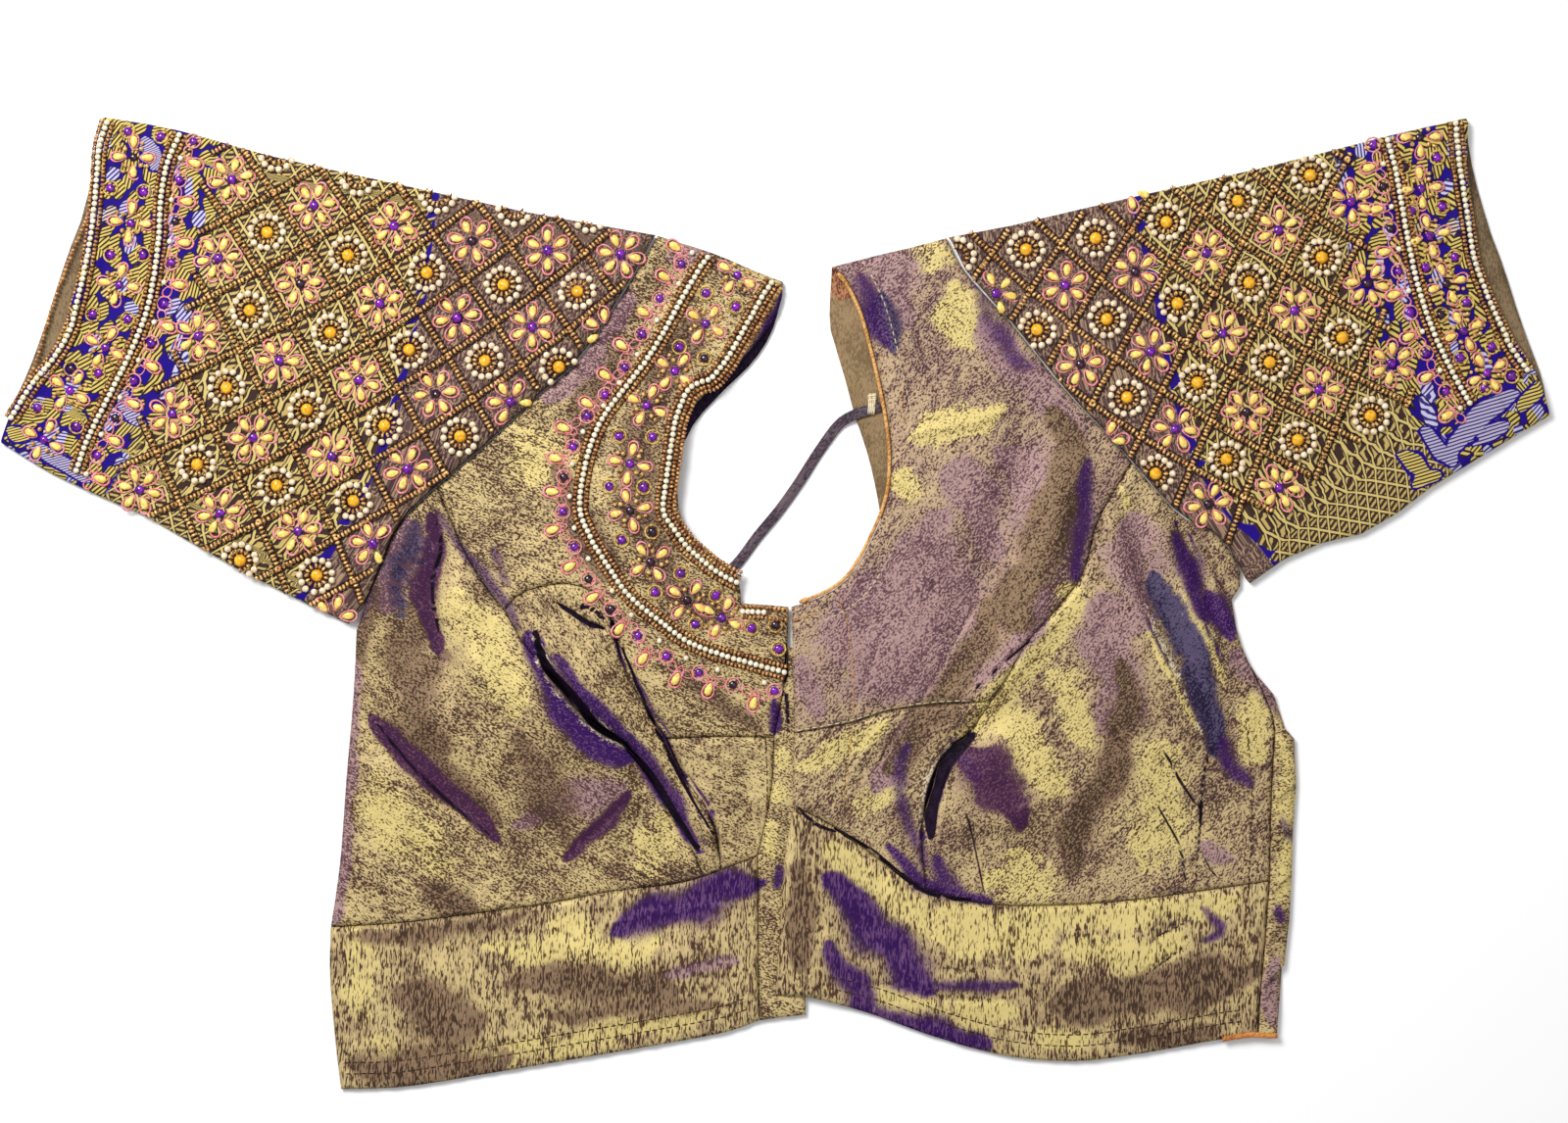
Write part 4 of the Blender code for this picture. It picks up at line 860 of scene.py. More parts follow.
@dataclass
class Relief:
    """Heights of the upper side of some CAD nodes on a fine grid, softened."""

    nodes: tuple[str, ...]
    blur: float = 3.0
    cell: float = 1.0
    margin: int = 12
    raw: np.ndarray = field(init=False)
    soft: np.ndarray = field(init=False)
    mask: np.ndarray = field(init=False)
    origin: np.ndarray = field(init=False)

    def __post_init__(self) -> None:
        """Fill the grid from the nodes' triangles."""
        corners = np.concatenate([self.triangles(n) for n in self.nodes])
        flat = corners[:, :, :2].reshape(-1, 2)
        self.origin = flat.min(axis=0) - self.margin * self.cell
        size = np.ceil((flat.max(axis=0) - self.origin) / self.cell).astype(int) + self.margin
        self.raw = np.full((size[1], size[0]), -1.0)
        for a, b, c in corners:
            self.fill(a, b, c)
        self.mask = self.raw >= 0
        weight = self.mask.astype(float)
        total, share = self.spread(np.where(self.mask, self.raw, 0)), self.spread(weight)
        self.soft = total / np.maximum(share, 1e-6)

    @staticmethod
    def triangles(name: str) -> np.ndarray:
        """Upper triangles of a node, in millimetres."""
        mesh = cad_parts[name].data
        mesh.calc_loop_triangles()
        points = np.empty(3 * len(mesh.vertices))
        mesh.vertices.foreach_get("co", points)
        index = np.empty(3 * len(mesh.loop_triangles), dtype=int)
        mesh.loop_triangles.foreach_get("vertices", index)
        corners = points.reshape(-1, 3)[index.reshape(-1, 3)] / MM
        normal = np.cross(corners[:, 1] - corners[:, 0], corners[:, 2] - corners[:, 0])
        return corners[normal[:, 2] > 0.15 * np.linalg.norm(normal, axis=1)]

    def fill(self, a: np.ndarray, b: np.ndarray, c: np.ndarray) -> None:
        """Raise the grid to a triangle where it is higher."""
        low = np.floor((np.minimum(np.minimum(a, b), c)[:2] - self.origin) / self.cell).astype(int)
        top = np.ceil((np.maximum(np.maximum(a, b), c)[:2] - self.origin) / self.cell).astype(int)
        xs, ys = np.meshgrid(np.arange(low[0], top[0] + 1), np.arange(low[1], top[1] + 1))
        px, py = xs * self.cell + self.origin[0], ys * self.cell + self.origin[1]
        area = (b[0] - a[0]) * (c[1] - a[1]) - (b[1] - a[1]) * (c[0] - a[0])
        if abs(area) < 1e-9:
            return
        u = ((px - a[0]) * (c[1] - a[1]) - (py - a[1]) * (c[0] - a[0])) / area
        v = ((b[0] - a[0]) * (py - a[1]) - (b[1] - a[1]) * (px - a[0])) / area
        ok = (u >= -0.001) & (v >= -0.001) & (u + v <= 1.001)
        z = a[2] + u * (b[2] - a[2]) + v * (c[2] - a[2])
        self.raw[ys[ok], xs[ok]] = np.maximum(self.raw[ys[ok], xs[ok]], z[ok])

    def spread(self, grid: np.ndarray) -> np.ndarray:
        """Soften a grid in both directions."""
        reach = int(3 * self.blur / self.cell)
        kernel = np.exp(-0.5 * (np.arange(-reach, reach + 1) * self.cell / self.blur) ** 2)
        kernel /= kernel.sum()
        for axis in (0, 1):
            out = np.zeros_like(grid)
            for shift, k in zip(range(-reach, reach + 1), kernel):
                out += k * np.roll(grid, shift, axis=axis)
            grid = out
        return grid

    def sample(self, grid: np.ndarray, points: np.ndarray) -> np.ndarray:
        """Read a grid between its points."""
        g = (points - self.origin) / self.cell
        x = np.clip(g[:, 0], 0, grid.shape[1] - 1.001)
        y = np.clip(g[:, 1], 0, grid.shape[0] - 1.001)
        i, j = x.astype(int), y.astype(int)
        u, v = x - i, y - j
        return ((1 - u) * (1 - v) * grid[j, i] + u * (1 - v) * grid[j, i + 1]
                + (1 - u) * v * grid[j + 1, i] + u * v * grid[j + 1, i + 1])

    def height(self, points: np.ndarray) -> np.ndarray:
        """Softened height at flat points."""
        return self.sample(self.soft, points)

    def holds(self, points: np.ndarray, margin: float) -> np.ndarray:
        """Whether the cloth reaches this far round each point."""
        ok = np.ones(len(points), dtype=bool)
        for angle in np.linspace(0, 2 * math.pi, 8, endpoint=False):
            way = margin * np.array([math.cos(angle), math.sin(angle)])
            ok &= self.sample(self.mask.astype(float), points + way) > 0.5
        return ok


@dataclass
class Surface:
    """The dressed upper face of a stretch of cloth: its relief, creases and crumple."""

    relief: Relief
    creases: list[Stroke]
    crumple: Crumple
    lowest: float = 2.9
    give: float = 0.12

    def height(self, points: np.ndarray) -> np.ndarray:
        """Height at flat points, in millimetres."""
        z = self.relief.height(points) + self.crumple.at(points)
        for height, half, path in self.creases:
            z += height * stroke(points, half, path)
        return np.maximum(z, self.lowest + self.give * (z - self.lowest))

    def slope(self, points: np.ndarray) -> np.ndarray:
        """Slope of the height along X and Y."""
        reach = 0.8
        dx = self.height(points + [reach, 0]) - self.height(points - [reach, 0])
        dy = self.height(points + [0, reach]) - self.height(points - [0, reach])
        return np.column_stack([dx, dy]) / (2 * reach)


def new_object(name: str, points: np.ndarray, faces: list, slot: str,
               materials: list[bpy.types.Material]) -> bpy.types.Object:
    """Make a piece from points in millimetres.

    Args:
        name: The piece's name.
        points: Its points, one row each.
        faces: Its faces, as runs of point numbers.
        slot: The record's material slot; not used.
        materials: Its materials.

    Returns:
        The piece, which rides on the root.
    """
    mesh = bpy.data.meshes.new(name)
    mesh.from_pydata((np.asarray(points) * MM).tolist(), [], faces)
    mesh.update()
    return enrol(place(mesh, materials))


def place(mesh: bpy.types.Mesh, materials: list[bpy.types.Material]) -> bpy.types.Object:
    """Make a mesh a smooth object with these materials, and select it."""
    mesh.polygons.foreach_set("use_smooth", [True] * len(mesh.polygons))
    for material in materials:
        mesh.materials.append(material)
    piece = bpy.data.objects.new(mesh.name, mesh)
    bpy.context.collection.objects.link(piece)
    select_only(piece)
    return piece


def enrol(piece: bpy.types.Object, node: str = "") -> bpy.types.Object:
    """Hide the CAD node that a piece stands for, if it has one, and let the piece ride on the
    root.
    """
    if node:
        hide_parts(node)
    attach(piece, "root")
    LOG.info("%s: %d faces", piece.name, len(piece.data.polygons))
    return piece


def select_only(piece: bpy.types.Object) -> None:
    """Make a piece the only one selected, and active."""
    bpy.ops.object.select_all(action="DESELECT")
    piece.select_set(True)
    bpy.context.view_layer.objects.active = piece


def node_mesh(node: str) -> bmesh.types.BMesh:
    """A merged copy of a CAD node's mesh."""
    bm = bmesh.new()
    bm.from_mesh(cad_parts[node].data)
    bmesh.ops.remove_doubles(bm, verts=bm.verts, dist=0.000002)
    bm.normal_update()
    return bm


def divided(bm: bmesh.types.BMesh, name: str, cuts: int,
            smooth: float = 0.0) -> tuple[bpy.types.Mesh, np.ndarray]:
    """Cut each edge of a solid's copy and make it a mesh.

    Args:
        bm: The copy, which is freed.
        name: The mesh's name.
        cuts: Cuts in each edge.
        smooth: How far the new points round the form.

    Returns:
        The mesh, and the ends of each edge on its rim.
    """
    bmesh.ops.subdivide_edges(bm, edges=bm.edges, cuts=cuts, use_grid_fill=True, smooth=smooth)
    rim = [(e.verts[0].index, e.verts[1].index) for e in bm.edges if e.is_boundary]
    mesh = bpy.data.meshes.new(name)
    bm.to_mesh(mesh)
    bm.free()
    return mesh, np.array(rim)


def set_points(mesh: bpy.types.Mesh, points: np.ndarray) -> None:
    """Move a mesh's points, given in millimetres."""
    mesh.vertices.foreach_set("co", (points * MM).ravel())
    mesh.update()


def get_points(mesh: bpy.types.Mesh) -> np.ndarray:
    """A mesh's points, in millimetres."""
    points = np.empty(3 * len(mesh.vertices))
    mesh.vertices.foreach_get("co", points)
    return points.reshape(-1, 3) / MM


def carry(mesh: bpy.types.Mesh, name: str, values: np.ndarray) -> None:
    """Store a number at each point of a mesh."""
    layer = mesh.attributes.new(name, "FLOAT", "POINT")
    layer.data.foreach_set("value", np.asarray(values, dtype=float))


class Sheet:
    """Cloth with a flat cut size in its fields; declaring it takes no step."""

    rests_on: tuple[str, ...] = ()

    def declare(self, extras: list[bpy.types.Object]) -> None:
        """Take no step; the sheet's size, kept in its fields, is that of the cut that shows, all
        round on a tube.
        """


@dataclass
class FrontPanel(Sheet):
    """One cut piece of a front, laid over the back."""

    node: str
    slot: str
    finish: ShotTissue
    flat: tuple[float, float]
    area: float
    rests_on: tuple[str, ...] = ("back_panel",)
    wall: float = 1.1
    roll: float = 0.9
    roll_reach: float = 1.3
    pucker: float = 0.16
    cuts: int = 4
    piece: bpy.types.Object = field(init=False)

    def build(self, surface: Surface) -> bpy.types.Object:
        """Make the panel from its solid's upper face.

        Args:
            surface: The dressed face that it belongs to.

        Returns:
            The piece.
        """
        bm = node_mesh(self.node)
        under = [f for f in bm.faces if f.normal.z < 0.15]
        bmesh.ops.delete(bm, geom=under, context="FACES")
        mesh, rim = divided(bm, self.node + "_cloth", self.cuts)
        points = get_points(mesh)
        flat = points[:, :2]
        away, run = self.from_rim(flat, rim)
        z = surface.height(flat)
        z -= self.roll * np.exp(-(away / self.roll_reach) ** 2)
        z += self.pucker * np.sin(run) * np.exp(-away / 3.5)
        points[:, 2] = z
        set_points(mesh, points)
        self.tones(mesh, flat, surface)
        self.piece = place(mesh, [self.finish.material()])
        solid = self.piece.modifiers.new("wall", "SOLIDIFY")
        solid.thickness = self.wall * MM
        solid.offset = -1.0
        bpy.ops.object.modifier_apply(modifier=solid.name)
        return enrol(self.piece, self.node)

    @staticmethod
    def from_rim(flat: np.ndarray, edges: np.ndarray) -> tuple[np.ndarray, np.ndarray]:
        """Distance from the rim, and a wavy number that runs along it."""
        away = np.full(len(flat), 1e9)
        run = np.zeros(len(flat))
        a, b = flat[edges[:, 0]], flat[edges[:, 1]]
        for start in range(0, len(flat), BATCH):
            part = slice(start, start + BATCH)
            p = flat[part, None, :]
            ab = (b - a)[None]
            t = np.clip(((p - a) * ab).sum(axis=2) / np.maximum((ab ** 2).sum(axis=2), 1e-9), 0, 1)
            close = a + t[..., None] * ab
            d = np.hypot(*(p - close).transpose(2, 0, 1))
            best = d.argmin(axis=1)
            rows = np.arange(len(best))
            away[part] = d[rows, best]
            spot = close[rows, best]
            run[part] = 0.62 * spot[:, 0] + 0.71 * spot[:, 1]
        return away, run + 1.5 * np.sin(run / 5.3)

    @staticmethod
    def tones(mesh: bpy.types.Mesh, flat: np.ndarray, surface: Surface) -> None:
        """Store the painted sheen and shade of the tissue: the tone strokes, painted violet shade
        on steep slopes, and lean, painted light on slopes that face the window lamp.
        """
        steep = surface.slope(flat)
        # Painted violet shade on steep slopes.
        dark = np.clip((np.hypot(*steep.T) - 0.6) / 0.6, 0, 1)
        # lean is painted light: positive on slopes that face the window lamp, where the tissue
        # turns more gold.
        carry(mesh, "lean", np.clip(steep @ [0.75, -0.66] * 3.0, -1, 1))
        for tone in Tone:
            value = painted_tone_at(tone, flat)
            if tone is Tone.VIOLET:
                value = np.maximum(value, dark)
            carry(mesh, tone.value, value)


@dataclass
class Sleeve(Sheet):
    """A short sleeve, lying flat as a tube."""

    node: str
    slot: str
    cuff: Line
    border: Line
    flat: tuple[float, float]
    area: float
    cuts: int = 3
    middle: float = 4.6
    wall: float = 1.4
    blend: float = 1.6
    edge: float = 2.0
    most: float = 2.2
    piece: bpy.types.Object = field(init=False)

    def build(self, surface: Surface, finish: Brocade,
              lining: bpy.types.Material) -> bpy.types.Object:
        """Make the sleeve from its solid.

        Args:
            surface: Its dressed upper face.
            finish: Its brocade.
            lining: Its inside's material.

        Returns:
            The piece.
        """
        mesh, _ = divided(node_mesh(self.node), self.node + "_cloth", self.cuts)
        points = get_points(mesh)
        flat = points[:, :2]
        upper = np.clip((points[:, 2] - self.middle) / self.blend, 0, 1)
        inner = surface.relief.holds(flat, self.edge).astype(float)
        raw = surface.relief.sample(surface.relief.raw, flat)
        old = points[:, 2].copy()
        shift = np.clip(surface.height(flat) - raw, -self.most, self.most)
        points[:, 2] += np.where(raw > 0, shift, 0) * upper * inner
        hidden = ((raw - old > self.wall / 2) & (old > self.wall / 2)
                  & surface.relief.holds(flat, 0.9))
        set_points(mesh, points)
        self.pattern(mesh, flat)
        self.piece = place(mesh, [finish.material(), lining])
        inside = [hidden[list(p.vertices)].all()
                  or (p.normal.z > 0.9 and p.center.z < (self.wall + 0.2) * MM)
                  for p in mesh.polygons]
        mesh.polygons.foreach_set("material_index", [int(flag) for flag in inside])
        bpy.ops.object.shade_smooth_by_angle(angle=SHARP)
        return enrol(self.piece, self.node)

    def pattern(self, mesh: bpy.types.Mesh, flat: np.ndarray) -> None:
        """Store where the brocade's figures lie."""
        cuff = beyond(smooth_line(self.cuff, 3.0), 70.0)
        border = beyond(smooth_line(self.border, 3.0), 70.0)
        along, across, _ = distance(flat, cuff)
        plain, _, side = distance(flat, border)
        inwards = side if flat[:, 0].mean() < 0 else -side
        half = 1.0 if self.node.startswith("right") else -1.0
        carry(mesh, "along", along)
        carry(mesh, "across", across + 0.35 * half * along)
        carry(mesh, "plain", plain * inwards)
        for name in ("silver", "gilt"):
            value = np.zeros(len(flat))
            for figure, half, path in FIGURES:
                if figure == name:
                    value = np.maximum(value, stroke(ragged(flat, 0.8), half, path, 0.35))
            carry(mesh, name, value)


@dataclass
class BackPanel(Sheet):
    """The back, face down, with its lining showing through the neck."""

    node: str = "back_panel"
    turn_from: float = 199.0
    turn_below: float = -26.0
    shaded_before: float = 8.0
    tucked_above: float = 136.0
    cuts: int = 3
    flat: tuple[float, float] = (0.46, 0.385)
    area: float = 0.135
    crumple: Crumple = field(default_factory=lambda: Crumple(31, 0.14, 12.0, 40.0))
    piece: bpy.types.Object = field(init=False)

    def build(self) -> bpy.types.Object:
        """Make the back from its solid."""
        mesh, _ = divided(node_mesh(self.node), self.node + "_cloth", self.cuts)
        points = get_points(mesh)
        flat = points[:, :2]
        turned = ((flat[:, 0] > self.turn_from) & (flat[:, 1] < self.turn_below)
                  & (points[:, 2] > 2.0))
        lift = self.crumple.at(flat) * np.clip((points[:, 2] - 0.2) / 1.0, 0, 1)
        points[:, 2] += np.clip(lift, -0.12, 0.12) * ~turned
        set_points(mesh, points)
        # Even levels of painted sheen and shade over the back, and the painted strokes on its
        # turned part.
        for tone in Tone:
            level = {Tone.MAUVE: 0.35, Tone.GOLD: 0.4}.get(tone, 0.0)
            carry(mesh, tone.value, np.where(turned, painted_tone_at(tone, flat), level))
        carry(mesh, "lean", np.zeros(len(points)))
        finishes = (PlainCloth("lining", (146, 122, 90), (112, 92, 66)),
                    ShotTissue("side_tissue", grain=80.0, gold=0.03),
                    PlainCloth("shaded_facing", (44, 30, 54), (16, 8, 22)),
                    PlainCloth("tucked_end", (178, 124, 88), (78, 40, 30)))
        self.piece = place(mesh, [finish.material() for finish in finishes])
        outer = []
        for face in mesh.polygons:
            x, y, z = (c / MM for c in face.center)
            outside = x > self.turn_from and y < self.turn_below and z > 2.0
            if outside or face.normal.z < -0.3:
                outer.append(1)
            elif x < self.shaded_before:
                outer.append(2)
            else:
                outer.append(3 if y > self.tucked_above else 0)
        mesh.polygons.foreach_set("material_index", outer)
        bpy.ops.object.shade_smooth_by_angle(angle=SHARP)
        return enrol(self.piece, self.node)


def joined(parts: list[tuple[np.ndarray, list]]) -> tuple[np.ndarray, list]:
    """Join meshes, each as points and faces, into one."""
    faces, start = [], 0
    for points, own in parts:
        faces += [tuple(start + v for v in face) for face in own]
        start += len(points)
    return np.concatenate([points for points, _ in parts]), faces


def skin(lines: list[np.ndarray]) -> tuple[np.ndarray, list]:
    """Close a tube from the lines of points that run along it; give its points and faces."""
    count, last = len(lines), (len(lines[0]) - 1) * len(lines)
    faces = []
    for i in range(0, last, count):
        for k in range(count):
            a, b = i + k, i + (k + 1) % count
            faces.append((a, b, b + count, a + count))
    faces.append(tuple(range(count))[::-1])
    faces.append(tuple(range(last, last + count)))
    return np.stack(lines, axis=1).reshape(-1, 3), faces


def tube(line: np.ndarray, radius: float, sides: int,
         flatten: float = 1.0) -> tuple[np.ndarray, list]:
    """A closed tube along a line of points in space.

    Args:
        line: The middle line, in millimetres.
        radius: Half its width.
        sides: Points round it.
        flatten: Its height as a share of its width.

    Returns:
        Its points and faces.
    """
    way = np.gradient(line, axis=0)
    way /= np.linalg.norm(way, axis=1)[:, None]
    side = np.column_stack([-way[:, 1], way[:, 0], np.zeros(len(way))])
    side /= np.maximum(np.linalg.norm(side, axis=1), 1e-6)[:, None]
    up = np.cross(way, side)
    rings = []
    for k in range(sides):
        angle = 2 * math.pi * k / sides
        rings.append(line + radius * (math.cos(angle) * side + flatten * math.sin(angle) * up))
    return skin(rings)


@dataclass
class NeckPiping:
    """Thin piping round the left front's neck and the back's."""

    node: str = "neck_piping"
    finish: PlainCloth = PlainCloth("piping_cord", (224, 174, 110), (166, 112, 58), 45.0)

    def build(self) -> bpy.types.Object:
        """Make the piping, smoothed from its solid."""
        mesh, _ = divided(node_mesh(self.node), self.node + "_cord", 1, 0.6)
        return enrol(place(mesh, [self.finish.material()]), self.node)


@dataclass
class BackTie:
    """The flat tie that crosses the open back neck, with the tack at its left end."""

    node: str = "back_tie"
    width: float = 4.6
    wall: float = 1.0
    route: tuple[tuple[float, float, float], ...] = (
        (46.5, 87.5, 1.8), (41, 85.5, 1.8), (35, 83.5, 1.8), (28, 79, 0.1), (19.5, 67.5, 0),
        (10.5, 53.5, 0), (2, 41.5, 0), (-7.5, 30, 0), (-17, 17.5, 0), (-27, 9, 0.1),
        (-36, 3, 1.8), (-42, 0, 1.8), (-49, -3, 1.8))
    finish: PlainCloth = PlainCloth("tie_weave", (98, 84, 90), (54, 42, 56), 50.0)
    piece: bpy.types.Object = field(init=False)

    def build(self) -> bpy.types.Object:
        """Make the folded strip along its route."""
        line = smooth_line([p[:2] for p in self.route], 1.5)
        flat = np.array([p[:2] for p in self.route])
        run = np.concatenate([[0], np.cumsum(np.hypot(*np.diff(flat, axis=0).T))])
        at = np.linspace(0, run[-1], len(line))
        base = np.interp(at, run, [p[2] for p in self.route])
        way = directions(line)
        side = np.column_stack([-way[:, 1], way[:, 0]])
        shares = np.linspace(-1, 1, 9)
        rows = []
        for upper in (True, False):
            for s in shares if upper else shares[::-1]:
                xy = line + side * s * self.width / 2
                fold = 0.16 * np.sin(at / 4.1 + 2.0 * s) + 0.25 * np.cos(s * 4.0)
                top = base + self.wall + 0.15 * (1 - s * s) + 0.6 * fold
                z = np.where(np.full(len(at), upper), top, base + 0.02 + 0.25 * abs(s))
                rows.append(np.column_stack([xy, np.maximum(z, base + 0.02)]))
        self.piece = new_object("back_tie_strip", *skin(rows), "tie_cloth",
                                [self.finish.material()])
        bpy.ops.object.mode_set(mode="EDIT")
        bpy.ops.mesh.select_all(action="SELECT")
        bpy.ops.mesh.normals_make_consistent(inside=False)
        bpy.ops.object.mode_set(mode="OBJECT")
        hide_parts(self.node)
        return self.piece

    def tack(self) -> bpy.types.Object:
        """Wind the cream thread that holds the tie's end to the back."""
        turns = []
        for x in (41.6, 42.4, 43.2, 44.0):
            y = np.linspace(83.6, 93.0, 7)
            z = np.interp(y, (84.0, 85.0, 88.5, 91.0), (2.2, 3.2, 3.2, 2.1))
            turns.append(np.column_stack([x + 0.08 * (y - 88), y, z]))
        for y in (90.2, 91.1, 92.0):
            x = np.linspace(41.0, 44.9, 5)
            turns.append(np.column_stack([x, y + 0.1 * (x - 43), np.full(5, 2.6)]))
        thread = PlainCloth("tack_thread", (232, 218, 184), (150, 122, 84))
        return new_object("tie_tack", *joined([tube(turn, 0.42, 5) for turn in turns]),
                          "tie_cloth", [thread.material()])

    def declare(self) -> None:
        """Take no step; the tie is a narrow folded sheet."""


class Kind(Enum):
    """Shapes that the bead work is sewn from."""

    # Dark strip under bead rows and round the gold beads of rosettes: painted shade between the
    # beads.
    BASE = "couching_braid"
    SEED = "seed_bead"
    DOT = "round_bead"
    ROCAILLE = "band_bead"
    PEARL = "pearl"
    BIG_PEARL = "rosette_pearl"
    CENTRE = "amber_stone"
    STONE = "violet_stone"
    DARK_STONE = "dark_stone"
    PETAL = "petal_drop"
    LOOP = "thread_loop"
    RING = "thread_ring"
    PINK_RING = "pink_ring"


@dataclass(frozen=True)
class Bead:
    """One shape of the bead work: its template, size and finish."""

    size: tuple[float, float, float]
    sides: int
    rings: int
    finish: Glaze
    drop: float = 0.0
    flat_base: bool = False
    hole: float = 0.0

    def template(self) -> tuple[np.ndarray, list]:
        """Model the shape once, long along X, its base at z = 0.

        Returns:
            Its points in millimetres, and its faces.
        """
        bpy.ops.object.select_all(action="DESELECT")
        if self.hole:
            bpy.ops.mesh.primitive_torus_add(major_segments=self.sides, minor_segments=self.rings,
                                             major_radius=0.5, minor_radius=self.hole)
        else:
            bpy.ops.mesh.primitive_uv_sphere_add(segments=self.sides, ring_count=self.rings,
                                                 radius=0.5)
        shape = bpy.context.object
        if self.flat_base:
            bpy.ops.object.mode_set(mode="EDIT")
            bpy.ops.mesh.select_all(action="SELECT")
            bpy.ops.mesh.bisect(plane_co=(0, 0, -0.1), plane_no=(0, 0, 1), clear_inner=True,
                                use_fill=True)
            bpy.ops.object.mode_set(mode="OBJECT")
        points = np.array([v.co[:] for v in shape.data.vertices])
        faces = [tuple(p.vertices) for p in shape.data.polygons]
        mesh = shape.data
        bpy.data.objects.remove(shape)
        bpy.data.meshes.remove(mesh)
        thin = 1 - self.drop * np.clip(0.5 - points[:, 0], 0, 1) ** 1.5
        points[:, 1] *= thin
        points *= self.size
        points[:, 2] -= points[:, 2].min()
        return points, faces


BEADS: dict[Kind, Bead] = {
    # Painted shade between beads: a flat dark strip laid under them.
    Kind.BASE: Bead((3.3, 1.2, 0.6), 4, 3, Glaze("painted_shade_braid", (58, 32, 18), (30, 14, 12), 0.7)),
    Kind.SEED: Bead((1.5, 2.6, 2.0), 6, 5, Glaze(
        "bronze_bead", (240, 194, 124), (154, 98, 48), 0.22, 0.15, shine=0.6)),
    Kind.DOT: Bead((2.3, 2.3, 2.0), 8, 5, Glaze(
        "gold_bead", (230, 186, 118), (170, 116, 60), 0.25, 0.15, shine=0.5)),
    Kind.ROCAILLE: Bead((1.6, 2.1, 1.8), 6, 4, Glaze(
        "band_bead", (220, 164, 100), (130, 72, 36), 0.25, 0.15, shine=0.5)),
    Kind.PEARL: Bead((2.6, 2.75, 2.4), 8, 5, Glaze(
        "pearl_white", (246, 238, 216), (226, 210, 180), 0.2)),
    Kind.BIG_PEARL: Bead((3.3, 3.3, 2.8), 8, 5, Glaze(
        "pearl_cream", (244, 228, 200), (220, 192, 156), 0.2)),
    Kind.CENTRE: Bead((5.6, 5.6, 3.2), 10, 6, Glaze(
        "amber", (244, 188, 54), (226, 150, 30), 0.12), flat_base=True),
    Kind.STONE: Bead((4.3, 4.3, 2.2), 8, 5, Glaze(
        "violet_glass", (132, 12, 176), (66, 6, 104), 0.06, shine=0.6), flat_base=True),
    Kind.DARK_STONE: Bead((4.3, 4.3, 2.2), 8, 5, Glaze(
        "dark_glass", (56, 10, 46), (18, 4, 16), 0.06, shine=0.6), flat_base=True),
    Kind.PETAL: Bead((6.4, 4.4, 1.9), 8, 5, Glaze(
        "yellow_glass", (246, 224, 130), (232, 190, 92), 0.15), drop=0.5),
    Kind.LOOP: Bead((8.0, 6.1, 4.6), 14, 4, Glaze(
        "pink_thread", (234, 156, 168), (210, 116, 110), 0.7), drop=0.45, hole=0.078),
    Kind.RING: Bead((5.7, 5.7, 6.0), 12, 4, Glaze(
        "gold_thread", (222, 192, 104), (160, 116, 66), 0.6), hole=0.07),
    Kind.PINK_RING: Bead((6.2, 6.2, 6.0), 12, 4, Glaze(
        "pink_ring", (230, 158, 176), (212, 128, 116), 0.7), hole=0.06),
}


